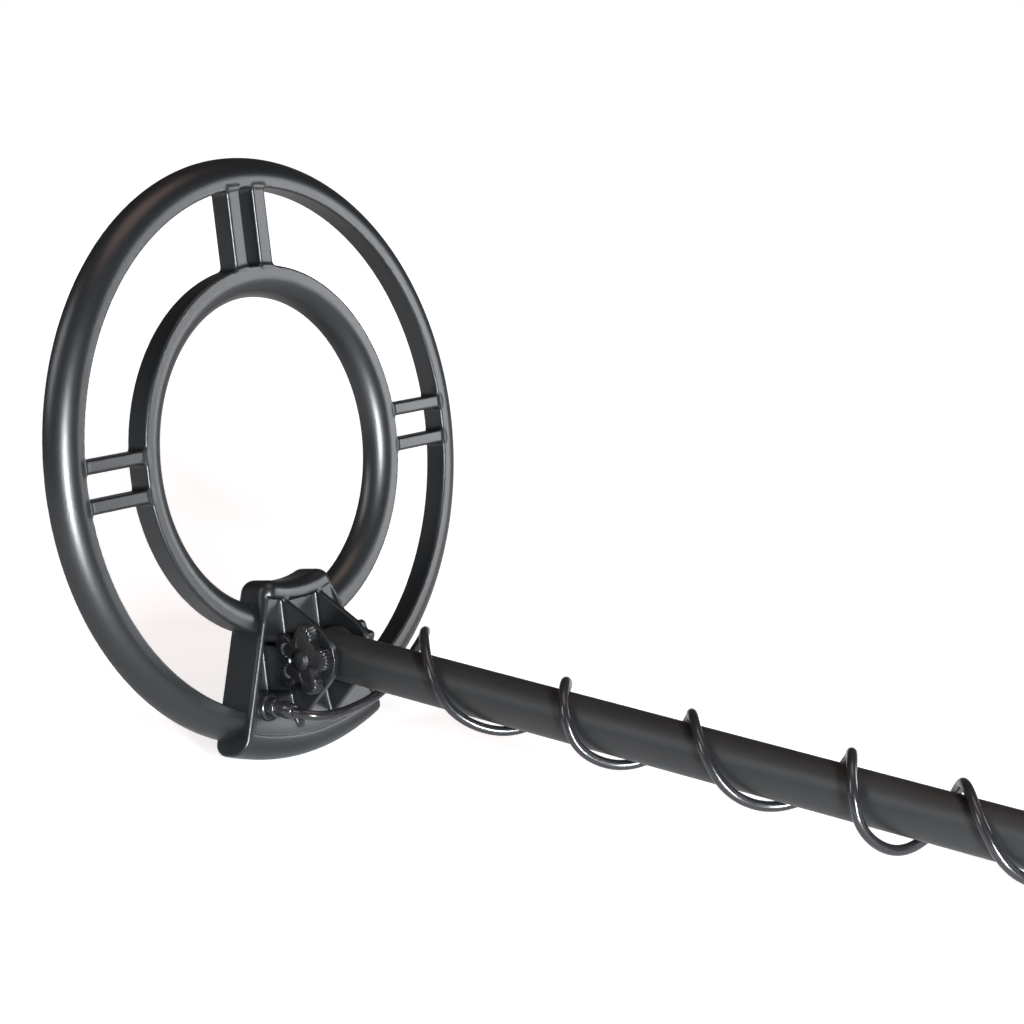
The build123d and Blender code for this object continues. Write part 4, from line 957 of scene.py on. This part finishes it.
def turn_radius(x):
    """Distance of the cable's middle from the rod's axis, over the tubes and their collars."""
    for end, radius in ((322, 12.6), (388, 19.1), (544, 13.7), (606, 20.7)):
        if x < end:
            return radius
    return 15.3


def turn_point(x, angle, radius):
    reach, swing = radius / TURN_SHRINK, radians(angle)
    return Vector((x, reach * cos(swing), reach * sin(swing)))


def cord_of(name, points, body_a, body_b, start, end, **facts):
    """A NURBS line through the route as a round tube; body_a and body_b are not used."""
    line = bpy.data.curves.new(name, "CURVE")
    line.dimensions, line.resolution_u, line.bevel_resolution, line.use_fill_caps = "3D", 10, 5, True
    spline = line.splines.new("NURBS")
    spline.points.add(len(points) - 1)
    for spot, point in zip(spline.points, points):
        spot.co = (*(BUILD @ point), 1)
    spline.order_u, spline.use_endpoint_u = 3, True
    bare = bpy.data.objects.new(name, line)
    path = [tuple(v.co) for v in bpy.data.meshes.new_from_object(bare).vertices]
    line.bevel_depth = CABLE / 2
    tube = bpy.data.meshes.new_from_object(bare)
    bpy.data.objects.remove(bare)
    tube.shade_smooth()
    made = piece(name, tube, jacket.material)
    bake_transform(made)
    return made


sleeve_end, sleeve_bend = (BUILD.inverted() @ (SLEEVE_PLACE @ Vector((0, 0, reach)))
                           for reach in (SLEEVE_LENGTH, SLEEVE_LENGTH + SLEEVE_RUN))
plug_low, plug_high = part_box("coil_plug")
plug_middle = (plug_low + plug_high) / 2
plug_end = BUILD.inverted() @ Vector((plug_low.x, plug_middle.y, plug_middle.z))
last_x, last_angle, _ = ROD_TURNS[-1]
even = []
for step in range(1, REGULAR_STEPS + 1):
    x = last_x + (TURNS_END - last_x) * step / REGULAR_STEPS
    even.append(turn_point(x, last_angle + 360 / STEPS_A_TURN * step, turn_radius(x)))
route = [sleeve_end, sleeve_bend] + [Vector(p) for p in LEAD_POINTS]
route += [turn_point(*turn) for turn in ROD_TURNS] + even
route += [Vector(p) for p in TAIL_POINTS] + [plug_end - Vector((PLUG_RUN, 0, 0)), plug_end]
meeting = (route[FIRST_LAST] + route[FIRST_LAST + 1]) / 2
lead = cord_of("cable_coil_end", route[:FIRST_LAST + 1] + [meeting], "coil", "rod",
               (10, -24, -19), (36, 15, 11),
               far_end="object", stiffness="medium", lay="coiled", with_pieces=[gland, sleeve])
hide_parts("cable_lead", "cable_rod_turns")
winding = cord_of("cable_handle_end", [meeting] + route[FIRST_LAST + 1:], "rod", "handle_frame",
                  (128, 0, 0), (318, 0, 0),
                  far_end="plug", stiffness="medium", lay="coiled",
                  with_pieces=[node["coil_plug"], node["plug_lock_ring"]])
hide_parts("cable_slide_turns", "cable_shaft_turns")

# ------------------------------ floor, light and camera
paper = Finish("white_paper", Base_Color=(0.9, 0.9, 0.9), Roughness=0.8, Specular_IOR_Level=0.2)
paper.set(Emission_Strength=1.0)
away = paper.node("VectorMath", {"operation": "DISTANCE"}, (paper.place, tuple(PIVOT)), "Value")
seen_floor = paper.tint(((away - 0.45) * 1.2).clamp(), (0.50, 0.50, 0.51), (1.0, 1.0, 1.0))
direct = paper.node("LightPath", output="Is Camera Ray")
paper.set(Emission_Color=paper.tint(direct, (0.05, 0.055, 0.06), seen_floor))
disc = [(0, 0), (6.0, 0), (6.0, -0.01), (0, -0.01)]
turned("studio_floor", disc, paper.material, Matrix.Identity(4), 96)
CAMERA_PLACE = PIVOT + Vector((0.62337, -0.7402, 0.2852))
FORWARD, RIGHT = Vector((-0.571, 0.789, -0.225)), Vector((0.802, 0.595, 0.049))
eye = bpy.data.objects.new("camera", bpy.data.cameras.new("camera"))
eye.data.lens, eye.data.sensor_width, eye.data.shift_y = 88.16, 36.0, -0.002
forward = FORWARD.normalized()
right = (RIGHT - forward * RIGHT.dot(forward)).normalized()
up = right.cross(forward)
eye.matrix_world = Matrix.Translation(CAMERA_PLACE) @ Matrix((right, up, -forward)).transposed().to_4x4()
bpy.context.scene.collection.objects.link(eye)
bpy.context.scene.camera = eye
world = bpy.data.worlds.new("studio")
bpy.context.scene.world = world
world.use_nodes = True
sky = world.node_tree
direction, parts, shade, ray, mix = (sky.nodes.new(kind) for kind in (
    "ShaderNodeTexCoord", "ShaderNodeSeparateXYZ", "ShaderNodeValToRGB", "ShaderNodeLightPath",
    "ShaderNodeMix"))
mix.data_type = "RGBA"
stops = shade.color_ramp.elements   # warm above, cool and brighter at the horizon
stops[0].position, stops[0].color = 0.0, (0.17, 0.20, 0.22, 1)
stops[1].position, stops[1].color = 0.75, (0.055, 0.032, 0.025, 1)
stops.new(0.3).color = (0.062, 0.065, 0.068, 1)
mix.inputs[7].default_value = (1, 1, 1, 1)
for output, target in ((direction.outputs["Generated"], parts.inputs[0]),
                       (parts.outputs["Z"], shade.inputs[0]), (shade.outputs[0], mix.inputs[6]),
                       (ray.outputs["Is Camera Ray"], mix.inputs[0]),
                       (mix.outputs[2], sky.nodes["Background"].inputs["Color"])):
    sky.links.new(output, target)
bpy.context.scene.view_settings.view_transform = "Standard"


def softbox(name, place, target, size, power, colour):
    lamp = bpy.data.lights.new(name, "AREA")
    lamp.shape, lamp.size, lamp.size_y, lamp.energy, lamp.color = "RECTANGLE", *size, power, colour
    made = bpy.data.objects.new(name, lamp)
    bpy.context.scene.collection.objects.link(made)
    facing = (Vector(place) - Vector(target)).to_track_quat("Z", "Y")
    made.matrix_world = Matrix.Translation(place) @ facing.to_matrix().to_4x4()


softbox("key_left", (-1.3, -1.6, 1.3), (-0.55, 0, 0.1), (0.5, 1.2), 15, (0.95, 0.98, 1.0))
softbox("strip_front", (0.72, -0.80, 0.20), (-0.55, 0, 0.12), (0.20, 0.9), 100, (0.90, 0.96, 1.0))
softbox("side_right", (0.35, 1.15, 0.30), (-0.5, 0, 0.12), (0.4, 0.7), 9, (0.95, 0.97, 1.0))
softbox("top_warm", (-0.3, 0.2, 2.2), (-0.4, 0, 0.1), (1.2, 1.2), 10, (1.0, 0.70, 0.58))
